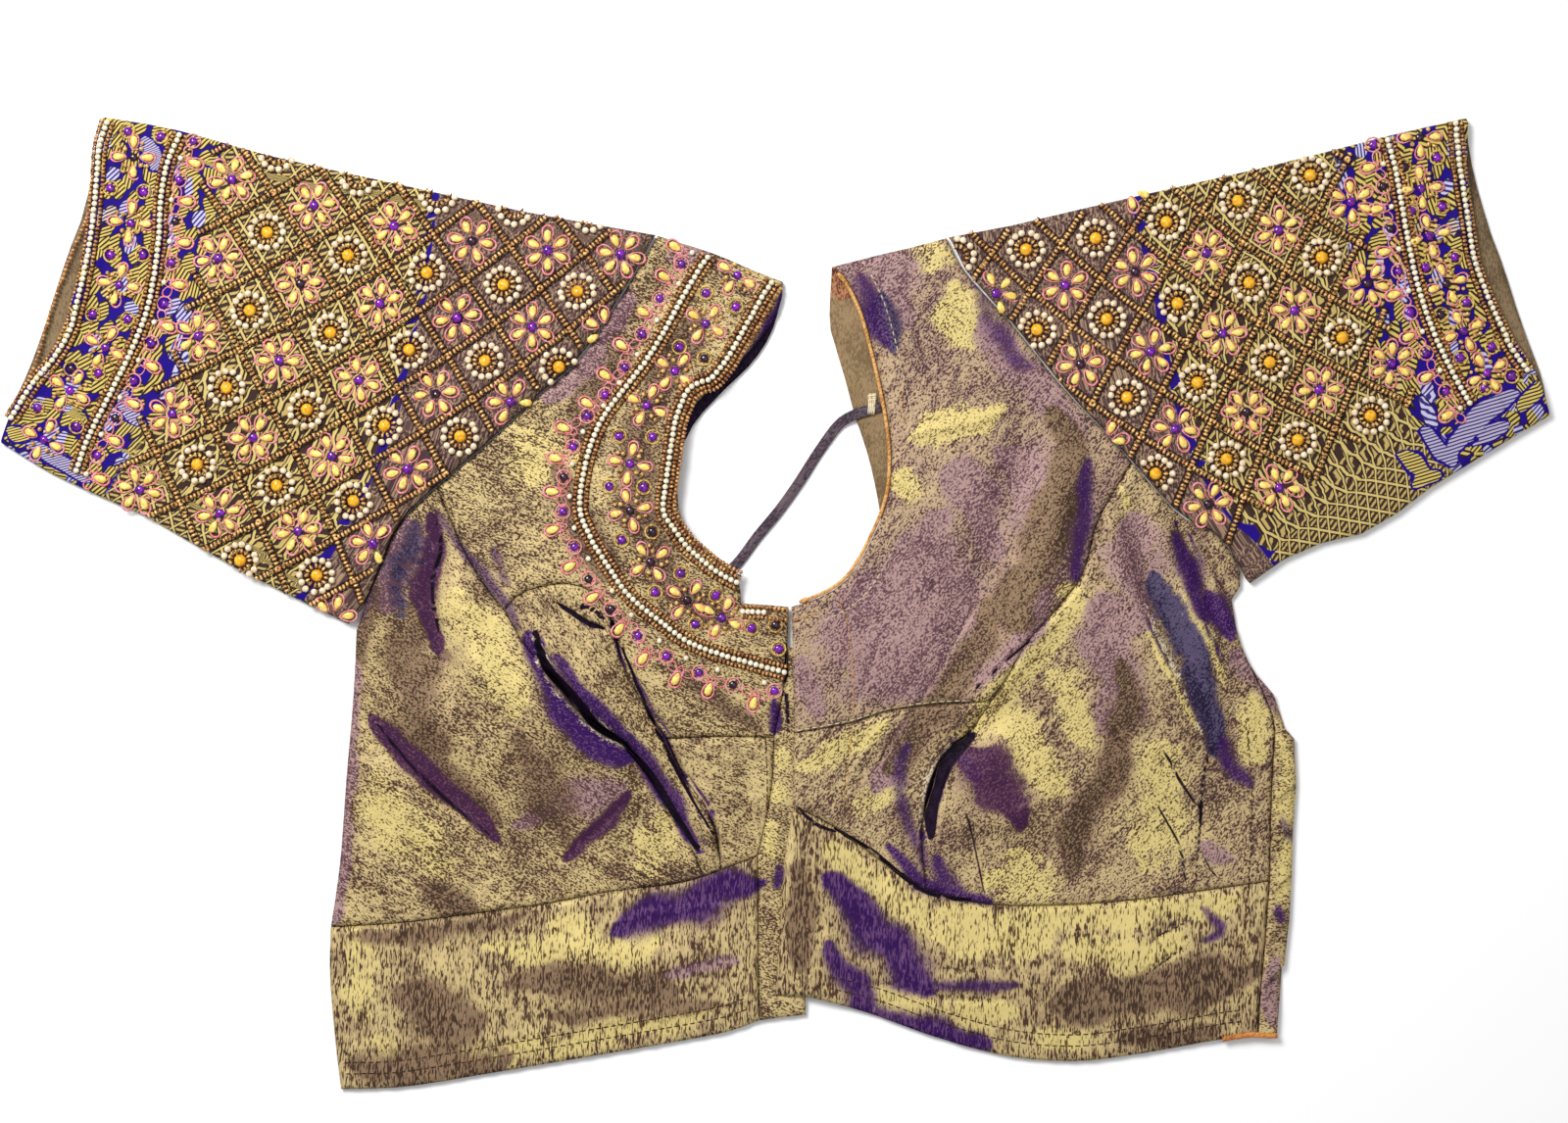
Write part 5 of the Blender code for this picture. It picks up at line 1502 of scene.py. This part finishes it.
class BeadWork:
    """Beads sewn on one stretch of cloth, joined into one piece."""

    def __init__(self, name: str, surface: Surface, templates: dict) -> None:
        """Start an empty piece.

        Args:
            name: The piece's name.
            surface: The cloth that it is sewn on.
            templates: Points and faces of each kind.
        """
        self.name = name
        self.surface = surface
        self.templates = templates
        self.stamps: dict[Kind, list[tuple[float, float, float, float, float]]] = {}
        self.random = np.random.default_rng(len(name) * 7)

    def sew(self, kind: Kind, spots: np.ndarray, angles: np.ndarray | float = 0.0,
            size: float = 1.0, lift: float = 0.0, margin: float | None = 0.2) -> None:
        """Sew copies of one shape.

        Args:
            kind: The shape.
            spots: Flat places, one row each.
            angles: Which way each lies, in radians.
            size: Its size as a share of the shape's.
            lift: Height of its base over the cloth.
            margin: Cloth needed round it, or None where the row may stand over the edge.
        """
        spots = np.atleast_2d(np.asarray(spots, dtype=float))
        angles = np.broadcast_to(angles, len(spots))
        keep = np.ones(len(spots), dtype=bool)
        if margin is not None:
            keep = self.surface.relief.holds(spots, margin)
        rows = [(x, y, a, size, lift) for (x, y), a, k in zip(spots, angles, keep) if k]
        self.stamps.setdefault(kind, []).extend(rows)

    def shade_strip(self, line: Line | np.ndarray, width: float, margin: float | None = 0.2) -> None:
        """Lay a flat dark strip of this width under rows of beads, as painted shade between them.
        """
        count = max(2, round(width / 1.1))
        for shift in np.linspace(-0.5, 0.5, count) * (width - 1.0):
            self.row(Kind.BASE, line, 2.5, float(shift), 0.03, 0.0, margin)

    def row(self, kind: Kind, line: Line | np.ndarray, pitch: float, shift: float = 0.0,
            wobble: float = 0.12, lift: float = 0.0, margin: float | None = 0.2) -> None:
        """Sew shapes in a row along a line, moved sideways by shift."""
        fine = smooth_line(line, pitch)
        if shift:
            fine = smooth_line(beside(fine, shift), pitch)
        way = directions(fine)
        fine = fine + self.random.normal(0, wobble, fine.shape)
        self.sew(kind, fine, np.arctan2(way[:, 1], way[:, 0]), 1.0, lift, margin)

    def around(self, kind: Kind, centre: tuple[float, float], radius: float, count: int,
               start: float = 0.0, size: float = 1.0, lift: float = 0.0,
               twist: float = 0.0) -> None:
        """Sew shapes in a ring, each pointing outwards or turned by twist."""
        turn = start + np.arange(count) * 2 * math.pi / count
        turn = turn + self.random.normal(0, 0.04, count)
        reach = radius * (1 + self.random.normal(0, 0.02, count))
        spots = np.array(centre) + reach[:, None] * np.column_stack([np.cos(turn), np.sin(turn)])
        self.sew(kind, spots, turn + twist, size, lift, 1.5 if kind is Kind.LOOP else 0.1)

    def rosette(self, centre: tuple[float, float]) -> None:
        """Sew an amber stone in a ring of gold beads and a ring of pearls, with rings of dark
        strip each side of the gold beads as painted shade.
        """
        start = self.random.uniform(0, 1)
        self.sew(Kind.CENTRE, [centre], start, 1.0, 0.0, 2.4)
        # Rings of dark strip as painted shade round the gold beads.
        for radius, count in ((5.7, 13), (3.3, 8)):
            self.around(Kind.BASE, centre, radius, count, start, 1.25, 0.0, math.pi / 2)
        self.around(Kind.SEED, centre, 4.4, 13, start, 0.95, 0.2, math.pi / 2)
        self.around(Kind.BIG_PEARL, centre, 7.3, 13, start, 0.96)

    def flower(self, centre: tuple[float, float]) -> None:
        """Sew a six-petalled flower: a stone, yellow drops and pink thread loops."""
        start = self.random.uniform(0, 1)
        self.stone(centre, start, 1.08, 1.8)
        self.around(Kind.PETAL, centre, 6.5, 6, start, 0.95)
        self.around(Kind.LOOP, centre, 7.1, 6, start, 0.94)

    def stone(self, spot: tuple[float, float], angle: float, size: float,
              margin: float = 0.2) -> None:
        """Sew a stone in its dark setting; most stones are violet."""
        kind = Kind.DARK_STONE if self.random.random() < 0.22 else Kind.STONE
        self.sew(kind, [spot], angle, size, 0.0, margin)
        if kind is Kind.STONE:
            self.sew(Kind.DARK_STONE, [spot], angle, 1.22 * size, -1.3, margin)

    def cross(self, centre: tuple[float, float], angle: float) -> None:
        """Sew a flower of four drops round a stone, with gold beads between them."""
        self.stone(centre, angle, 0.98)
        self.around(Kind.PETAL, centre, 6.4, 4, angle, 0.92)
        self.around(Kind.LOOP, centre, 6.7, 4, angle, 0.84)
        self.around(Kind.DOT, centre, 5.0, 4, angle + math.pi / 4, 0.95)
        self.around(Kind.DOT, centre, 7.4, 4, angle + math.pi / 4 + 0.2, 0.8)

    def ringed_stone(self, spot: tuple[float, float], size: float = 1.0,
                     ring: Kind = Kind.RING) -> None:
        """Sew a stone in a ring of thread."""
        self.stone(spot, self.random.uniform(0, 1), size)
        self.sew(ring, [spot], 0.0, 1.1 * size)

    def band(self, line: Line, extra: float = 0.0) -> None:
        """Sew a band: pearls between rows of gold beads, over a dark strip of painted shade.

        Args:
            line: The row of pearls.
            extra: Where a further row of gold beads lies, 0 for none.
        """
        # Dark strip of painted shade under the band.
        self.shade_strip(line, 7.6, None)
        self.row(Kind.PEARL, line, 2.6, 0.0, 0.05, 0.3, None)
        for shift in (2.6, -2.6, extra):
            if shift:
                self.row(Kind.ROCAILLE, line, 1.8, shift, 0.07, 0.15, None)

    def scallop(self, line: Line, side: float, pitch: float, stone_out: float,
                drop_out: float) -> None:
        """Sew a row of stones and drops in turn, beside a band.

        Args:
            line: The band's middle.
            side: +1 to its left, -1 to its right.
            pitch: Distance from a stone to the next drop.
            stone_out, drop_out: How far each lies from the band.
        """
        stones = smooth_line(beside(smooth_line(line, 2.0), side * stone_out), pitch)
        way = directions(stones)
        outward = side * np.column_stack([-way[:, 1], way[:, 0]])
        for k, (spot, out) in enumerate(zip(stones, outward)):
            if k % 2 == 0:
                self.ringed_stone(tuple(spot), 0.95, Kind.PINK_RING)
            else:
                self.scallop_drop(spot + (drop_out - stone_out) * out, out)
                self.sew(Kind.PEARL, [spot - (stone_out - 4.6) * out], 0.0, 0.95)

    def scallop_drop(self, tip: np.ndarray, out: np.ndarray) -> None:
        """Sew one drop of the scalloped edge, with its thread loops."""
        angle = math.atan2(out[1], out[0])
        self.sew(Kind.PETAL, [tip], angle, 1.0)
        self.sew(Kind.LOOP, [tip + 0.2 * out], angle, 0.98)
        self.sew(Kind.LOOP, [tip - 3.5 * out], angle, 0.72)
        spread = np.array([-out[1], out[0]])
        for turn in (-1, 1):
            self.sew(Kind.LOOP, [tip - 4.2 * out + turn * 3.6 * spread], angle + turn * 2.0, 0.7)

    def build(self, slot: str) -> bpy.types.Object:
        """Join every stamp into one piece.

        Args:
            slot: The record's material slot of the cloth that it is sewn on; not used.

        Returns:
            The piece.
        """
        copies, marks, materials = [], [], []
        for number, (kind, stamps) in enumerate(self.stamps.items()):
            shape, shape_faces = self.templates[kind]
            rows = np.array(stamps)
            flat = rows[:, :2]
            base = self.surface.height(flat)
            tilt = np.clip(self.surface.slope(flat), -0.8, 0.8)
            normal = np.column_stack([-tilt[:, 0], -tilt[:, 1], np.ones(len(rows))])
            normal /= np.linalg.norm(normal, axis=1)[:, None]
            ahead = np.column_stack([np.cos(rows[:, 2]), np.sin(rows[:, 2]), np.zeros(len(rows))])
            ahead -= (ahead * normal).sum(axis=1)[:, None] * normal
            ahead /= np.linalg.norm(ahead, axis=1)[:, None]
            side = np.cross(normal, ahead)
            scaled = shape[None] * rows[:, 3, None, None]
            place = np.column_stack([flat, base - 0.15 + rows[:, 4]])
            moved = (place[:, None] + scaled[..., :1] * ahead[:, None]
                     + scaled[..., 1:2] * side[:, None] + scaled[..., 2:] * normal[:, None])
            copies.extend((copy, shape_faces) for copy in moved)
            marks.extend([number] * (len(shape_faces) * len(rows)))
            materials.append(BEADS[kind].finish.material())
        piece = new_object(self.name, *joined(copies), slot, materials)
        piece.data.polygons.foreach_set("material_index", marks)
        return piece


@dataclass
class Lattice:
    """Diamond net of bead lines on a sleeve, a flower or a rosette in each diamond."""

    across: tuple[float, ...]
    up: tuple[float, ...]
    guard: Line
    guard_side: float
    guard_reach: float = 16.5
    pitch: float = 1.85
    # Width of the dark strip of painted shade under each strand.
    shade_strip: float = 4.2
    reach: int = 9
    steps: int = 700
    columns: tuple[int, int] = (-3, 14)
    rows: tuple[int, int] = (-4, 11)
    motif: float = 4.5
    shortest: int = 9
    bare: tuple[float, float, float, float] | None = None

    def spot(self, i: np.ndarray | float, j: np.ndarray | float) -> np.ndarray:
        """Place of a net coordinate, in millimetres."""
        i, j = np.asarray(i, dtype=float), np.asarray(j, dtype=float)
        terms = [np.ones_like(i), i, j, i * i, i * j, j * j]
        return np.stack([sum(c * t for c, t in zip(self.across, terms)),
                         sum(c * t for c, t in zip(self.up, terms))], axis=-1)

    def open(self, points: np.ndarray, extra: float = 0.0) -> np.ndarray:
        """Whether each place is on the net's side of the cuff's flowers."""
        away, _, side = distance(points, smooth_line(self.guard, 3.0))
        ok = (side * self.guard_side > 0) & (away > self.guard_reach + extra)
        if self.bare:
            x, y, dx, dy = self.bare
            ok &= (points[:, 0] - x) * dx + (points[:, 1] - y) * dy < 0
        return ok

    def sew(self, work: BeadWork) -> None:
        """Sew the net and its motifs."""
        for family in (1, -1):
            for m in range(-self.reach, 2 * self.reach):
                t = np.linspace(-self.reach, 2 * self.reach, self.steps)
                i = (m + 0.5 + t) / 2
                j = family * (m + 0.5 - t) / 2
                line = self.spot(i, j)
                near = work.surface.relief.holds(line, 0.3) & self.open(line)
                self.strands(work, line, near)
        for twice_i in range(*self.columns):
            for twice_j in range(*self.rows):
                if (twice_i + twice_j) % 2:
                    continue
                centre = self.spot(twice_i / 2, twice_j / 2)
                if not self.open(centre[None], 1.5)[0]:
                    continue
                turn = np.linspace(0, 2 * math.pi, 12, endpoint=False)
                ring = centre + self.motif * np.column_stack([np.cos(turn), np.sin(turn)])
                if not work.surface.relief.holds(ring, 0.5).any():
                    continue
                if twice_i % 2:
                    work.flower(tuple(centre))
                else:
                    work.rosette(tuple(centre))

    def strands(self, work: BeadWork, line: np.ndarray, near: np.ndarray) -> None:
        """Sew one line of the net, where there is cloth."""
        inside = np.flatnonzero(near)
        for run in np.split(inside, np.flatnonzero(np.diff(inside) > 1) + 1):
            if len(run) >= self.shortest:
                part = line[run[::4]]
                # Dark strip under the strand as painted shade between its beads.
                work.shade_strip(part, self.shade_strip)
                work.row(Kind.SEED, part, self.pitch, 0.0, 0.14, 0.15)


@dataclass
class Stitching:
    """Rows of stitches."""

    length: float = 2.3
    gap: float = 1.1
    radius: float = 0.27

    def rows(self, name: str, slot: str, surface: Surface, lines: list[np.ndarray],
             finish: PlainCloth) -> bpy.types.Object:
        """Lay stitches along lines.

        Args:
            name: The piece's name.
            slot: The cloth's material slot; not used.
            surface: The cloth's upper face.
            lines: The rows' lines.
            finish: The thread.

        Returns:
            The piece.
        """
        stitches = []
        for path in lines:
            fine = smooth_line(path, self.length + self.gap)
            for a, b in zip(fine, fine[1:]):
                share = self.length / (self.length + self.gap)
                spots = a + (b - a) * np.linspace(0, share, 4)[:, None]
                if not surface.relief.holds(spots, 0.3).all():
                    continue
                z = surface.height(spots) + [-0.15, 0.16, 0.16, -0.15]
                stitches.append(tube(np.column_stack([spots, z]), self.radius, 4))
        return new_object(name, *joined(stitches), slot, [finish.material()])


@dataclass
class Studio:
    """Pale floor, soft light and the overhead view."""

    view: tuple[float, float] = (3.9, 18.5)
    height: float = 1400.0
    lens: float = 72.4
    sensor: float = 36.0

    def build(self) -> None:
        """Set the floor, the lights and the camera."""
        bpy.ops.object.select_all(action="DESELECT")
        bpy.ops.mesh.primitive_plane_add(size=6.0, location=(0, 0, -0.0002))
        floor = bpy.context.object
        floor.name = "floor"
        g = Graph("floor_white")
        floor.data.materials.append(g.done(linear(252, 252, 253), 0.9, 0.0))
        self.lamp("window", (-0.6, 0.75, 1.2), 24.0, 0.6)
        self.lamp("ceiling", (0.35, 0.1, 1.7), 5.0, 1.3)
        world = bpy.data.worlds.new("room")
        world.use_nodes = True
        sky = world.node_tree.nodes["Background"].inputs
        sky[0].default_value, sky[1].default_value = (1.0, 1.0, 1.0, 1.0), 0.37
        bpy.context.scene.world = world
        bpy.context.scene.view_settings.view_transform = "Standard"
        data = bpy.data.cameras.new("overhead")
        data.sensor_width = self.sensor
        data.lens = self.lens
        camera = bpy.data.objects.new("overhead", data)
        camera.location = (self.view[0] * MM, self.view[1] * MM, self.height * MM)
        bpy.context.collection.objects.link(camera)
        bpy.context.scene.camera = camera

    @staticmethod
    def lamp(name: str, place: tuple[float, float, float], power: float, size: float) -> None:
        """Add a soft lamp that looks at the middle of the floor."""
        data = bpy.data.lights.new(name, "AREA")
        data.energy = power
        data.size = size
        lamp = bpy.data.objects.new(name, data)
        lamp.location = place
        lamp.rotation_euler = (-Vector(place)).to_track_quat("-Z", "Y").to_euler()
        bpy.context.collection.objects.link(lamp)


BORDERS: dict[str, Line] = {
    "right_sleeve": [
        (-148.3, 182.9), (-151.4, 159.9), (-154, 135.9), (-157.9, 123.3), (-162.7, 99.8),
        (-165.3, 86.3), (-171.4, 67.6), (-178.8, 52.4), (-194, 24.1), (-204.9, 6.7)],
    "left_sleeve": [
        (156.2, 182.9), (162.3, 155.1), (167, 138.5), (168.8, 123.3), (173.1, 101.6),
        (176.6, 87.2), (183.6, 64.2), (199.2, 38.9), (211, 28.1), (221.4, 15.4)],
}


# Rows of stitches: thread, side of the blouse, sideways shifts, line.
STITCHES: list[tuple[str, str, tuple[float, ...], Line]] = [
    ("cream", "left", (10.5,), [
        (25, 149), (31, 144), (38, 130.5), (42.5, 115.5), (46.5, 99), (50, 81), (51.5, 63.5),
        (50, 47), (43.5, 30), (34.5, 14), (26.5, 6.5), (16.5, 1.5)]),
    ("amber", "left", (0,), [(56, 93), (56.5, 87), (57, 80)]),
    ("amber", "left", (0,), [(26, 6), (32, -9), (34, -26), (34.5, -50), (32, -72), (30, -92)]),
    ("amber", "left", (0,), [(9, -7.5), (13, -6), (19, -4)]),
    ("cream", "left", (1.2,), [(10, -57.5), (34, -53), (49.5, -48), (69.5, -45), (86, -44)]),
    ("dark", "left", (7, 12), [
        (22, -177), (42, -182), (73, -193), (104, -201), (135, -203), (166, -199), (197, -193.5),
        (208, -192)]),
    ("dark", "left", (0,), [(14, -96), (13, -112), (11.5, -130), (10, -150), (8, -172)]),
    ("dark", "left", (0,), [(209, -56), (211, -93), (209, -130), (206, -155), (205, -188)]),
    ("dark", "right", (7, 12), [
        (-190, -215.5), (-165, -214.5), (-129.5, -209), (-94, -203), (-58.5, -197),
        (-23, -190.5), (-9, -186)]),
    ("dark", "right", (1.5,), [(-6, -57), (-5, -80), (-6, -107), (-8, -122)]),
]


@dataclass
class Blouse:
    """The whole blouse, built part by part."""

    front_crumple: Crumple = field(default_factory=lambda: Crumple(5, 0.5))
    sleeve_crumple: Crumple = field(default_factory=lambda: Crumple(9, 0.35, 9.0, 30.0))
    right_nodes: tuple[str, ...] = (
        "right_neck_panel", "right_cup_panel", "right_centre_panel", "right_side_panel",
        "right_waistband")
    left_nodes: tuple[str, ...] = (
        "left_neck_panel", "left_centre_panel", "left_side_panel", "left_waistband")
    surfaces: dict[str, Surface] = field(init=False, default_factory=dict)

    def lay_surfaces(self) -> None:
        """Work out the dressed face of each stretch of cloth."""
        self.surfaces["right"] = Surface(Relief(self.right_nodes), CREASES, self.front_crumple)
        self.surfaces["left"] = Surface(Relief(self.left_nodes), CREASES, self.front_crumple)
        self.surfaces["placket"] = Surface(Relief(("right_hook_placket",)), [],
                                           Crumple(3, 0.1), 2.2)
        for side in ("right", "left"):
            relief = Relief((side + "_sleeve",))
            self.surfaces[side + "_sleeve"] = Surface(relief, SLEEVE_FOLDS, self.sleeve_crumple)

    def fronts(self) -> list[FrontPanel]:
        """The fronts' pieces, with their cut sizes in metres."""
        tissue = ShotTissue("tissue_bias", grain=-38.0, gold=0.03)
        side = ShotTissue("tissue_side", grain=-60.0, gold=0.01)
        yoke = ShotTissue("tissue_yoke", grain=40.0, gold=0.02, cast=0.4)
        left = ShotTissue("tissue_left", grain=40.0, gold=0.02, cast=0.15)
        band = ShotTissue("tissue_band", grain=2.0, slub=1.8, gold=0.03, thread=0.3)
        neck = ShotTissue("tissue_neck", grain=-70.0)
        centre = ShotTissue("tissue_centre", grain=-70.0, gold=0.05)
        panels = (
            ("right_neck_panel", "gold_tissue", neck, (0.195, 0.235), 0.0205),
            ("right_cup_panel", "gold_tissue", tissue, (0.06, 0.13), 0.004),
            ("right_centre_panel", "gold_tissue", centre, (0.05, 0.065), 0.0022),
            ("right_side_panel", "gold_tissue", side, (0.17, 0.2), 0.0205),
            ("right_waistband", "gold_tissue", band, (0.19, 0.105), 0.0138),
            ("right_hook_placket", "purple_tissue", neck, (0.025, 0.165), 0.003),
            ("left_neck_panel", "purple_tissue", yoke, (0.165, 0.225), 0.019),
            ("left_centre_panel", "gold_tissue", left, (0.09, 0.085), 0.0048),
            ("left_side_panel", "purple_tissue", left, (0.16, 0.2), 0.0215),
            ("left_waistband", "gold_tissue", band, (0.222, 0.115), 0.0152),
        )
        return [FrontPanel(*panel) for panel in panels]

    def bead_neck(self, templates: dict) -> BeadWork:
        """Sew the deep band round the right front's neck."""
        work = BeadWork("neck_beadwork", self.surfaces["right"], templates)
        work.band(BAND_LINES["neck_inner"], 4.8)
        work.band(BAND_LINES["neck_outer"])
        self.fill_band(work, "neck")
        band = smooth_line(BAND_LINES["neck_outer"], 1.0)
        for spot in SCALLOP["drops"]:
            away = np.array(spot) - band[np.hypot(*(band - spot).T).argmin()]
            work.scallop_drop(np.array(spot), away / np.hypot(*away))
        for spot in SCALLOP["stones"]:
            work.ringed_stone(spot, 0.95, Kind.PINK_RING)
        work.sew(Kind.PEARL, SCALLOP["pearls"], 0.0, 0.95)
        step = BAND_LINES["neck_step"]
        for shift in (-2.3, 2.1):
            work.row(Kind.ROCAILLE, step, 1.8, shift, 0.1, 0.1, None)
        work.row(Kind.PEARL, step[:2], 2.6, 0.0, 0.1, 0.1, None)
        return work

    @staticmethod
    def fill_band(work: BeadWork, name: str) -> None:
        """Sew the chain of small flowers and the stones between two bands."""
        line = smooth_line(CHAINS[name], 4.0)
        way = directions(line)
        for spot in CHAINS[name]:
            nearest = np.hypot(*(line - spot).T).argmin()
            work.cross(spot, math.atan2(way[nearest, 1], way[nearest, 0]))
        for spot in STONES[name]:
            work.ringed_stone(spot)

    def sew_stitches(self) -> None:
        """Sew the rows of stitches that show on both fronts."""
        threads = {"amber": PlainCloth("amber_thread", (212, 158, 86), (160, 104, 48)),
                   "cream": PlainCloth("cream_thread", (222, 208, 176), (176, 156, 120)),
                   "dark": PlainCloth("dark_thread", (92, 70, 44), (50, 34, 30))}
        slots = {"left": "purple_tissue", "right": "gold_tissue"}
        for colour, side in dict.fromkeys((colour, side) for colour, side, _, _ in STITCHES):
            lines = [beside(smooth_line(path, 2.0), shift) for thread, where, shifts, path
                     in STITCHES if (thread, where) == (colour, side) for shift in shifts]
            Stitching().rows(side + "_" + colour + "_stitches", slots[side],
                             self.surfaces[side], lines, threads[colour])

    def bind_hem(self) -> bpy.types.Object:
        """Lay the tan facing that peeps out at the outer end of the left hem."""
        line = smooth_line([(198, -193.0), (204, -191.9), (211, -191.0), (217, -191.3),
                            (222.3, -191.4)], 1.5)
        z = np.maximum(self.surfaces["left"].height(line),
                       Relief(("left_waistband", "back_panel")).height(line))
        tan = PlainCloth("hem_facing", (214, 142, 78), (150, 92, 48), 45.0)
        return new_object("left_hem_facing",
                          *tube(np.column_stack([line, z + 0.05]), 1.2, 8, 0.45),
                          "piping", [tan.material()])

    def bead_sleeve(self, side: str, lattice: Lattice, templates: dict) -> list[BeadWork]:
        """Sew a sleeve's cuff bands and its net."""
        surface = self.surfaces[side + "_sleeve"]
        cuff = BeadWork(side + "_cuff_beadwork", surface, templates)
        cuff.band(BAND_LINES[side + "_cuff"])
        cuff.band(BAND_LINES[side + "_second"])
        self.fill_band(cuff, side + "_cuff")
        cuff.scallop(BAND_LINES[side + "_second"], lattice.guard_side, 9.3, 6.5, 11.0)
        if side == "right":
            cuff.row(Kind.ROCAILLE, HEM_BEADS, 1.9, 0.0, 0.1, 0.0, None)
        net = BeadWork(side + "_net_beadwork", surface, templates)
        lattice.sew(net)
        return [cuff, net]

    def build(self) -> None:
        """Build every piece in order."""
        self.lay_surfaces()
        back = BackPanel()
        back.build()
        panels = self.fronts()
        for panel in panels:
            key = "placket" if "placket" in panel.node else panel.node.split("_")[0]
            panel.build(self.surfaces[key])
        sleeves = {side: Sleeve(side + "_sleeve", "brocade", BAND_LINES[side + "_cuff"],
                                BORDERS[side + "_sleeve"], (0.47, 0.24), area)
                   for side, area in (("right", 0.085), ("left", 0.082))}
        brocade = Brocade("sleeve_brocade")
        lining = PlainCloth("sleeve_lining", (132, 112, 84), (98, 80, 60)).material()
        for sleeve in sleeves.values():
            sleeve.build(self.surfaces[sleeve.node], brocade, lining)
        NeckPiping().build()
        tie = BackTie()
        tie.build()
        tie.declare()
        tie.tack()
        self.sew_stitches()
        self.bind_hem()
        templates = {kind: bead.template() for kind, bead in BEADS.items()}
        neck = self.bead_neck(templates).build("gold_tissue")
        nets = {
            "right": Lattice((-224.62, 36.3, -5.94, -0.5, -0.2, -1.46),
                             (163.97, -11.33, -34.76, 1.21, 0.27, 0.19),
                             BAND_LINES["right_second"], 1.0),
            "left": Lattice((80.54, 30.23, 2.81, 0.2, 0.02, 1.97),
                            (153.64, 1.76, -35.8, 1.08, -0.26, 0.53),
                            BAND_LINES["left_second"], -1.0,
                            bare=(255.0, 68.0, 0.62, -0.78)),
        }
        for side, sleeve in sleeves.items():
            works = self.bead_sleeve(side, nets[side], templates)
            sleeve.declare([work.build("brocade") for work in works])
        back.declare([])
        for panel in panels:
            panel.declare([neck] if panel.node == "right_neck_panel" else [])


def main() -> None:
    """Build the blouse and the room."""
    logging.basicConfig(level=logging.INFO)
    Blouse().build()
    Studio().build()


if __name__ == "__main__":
    main()
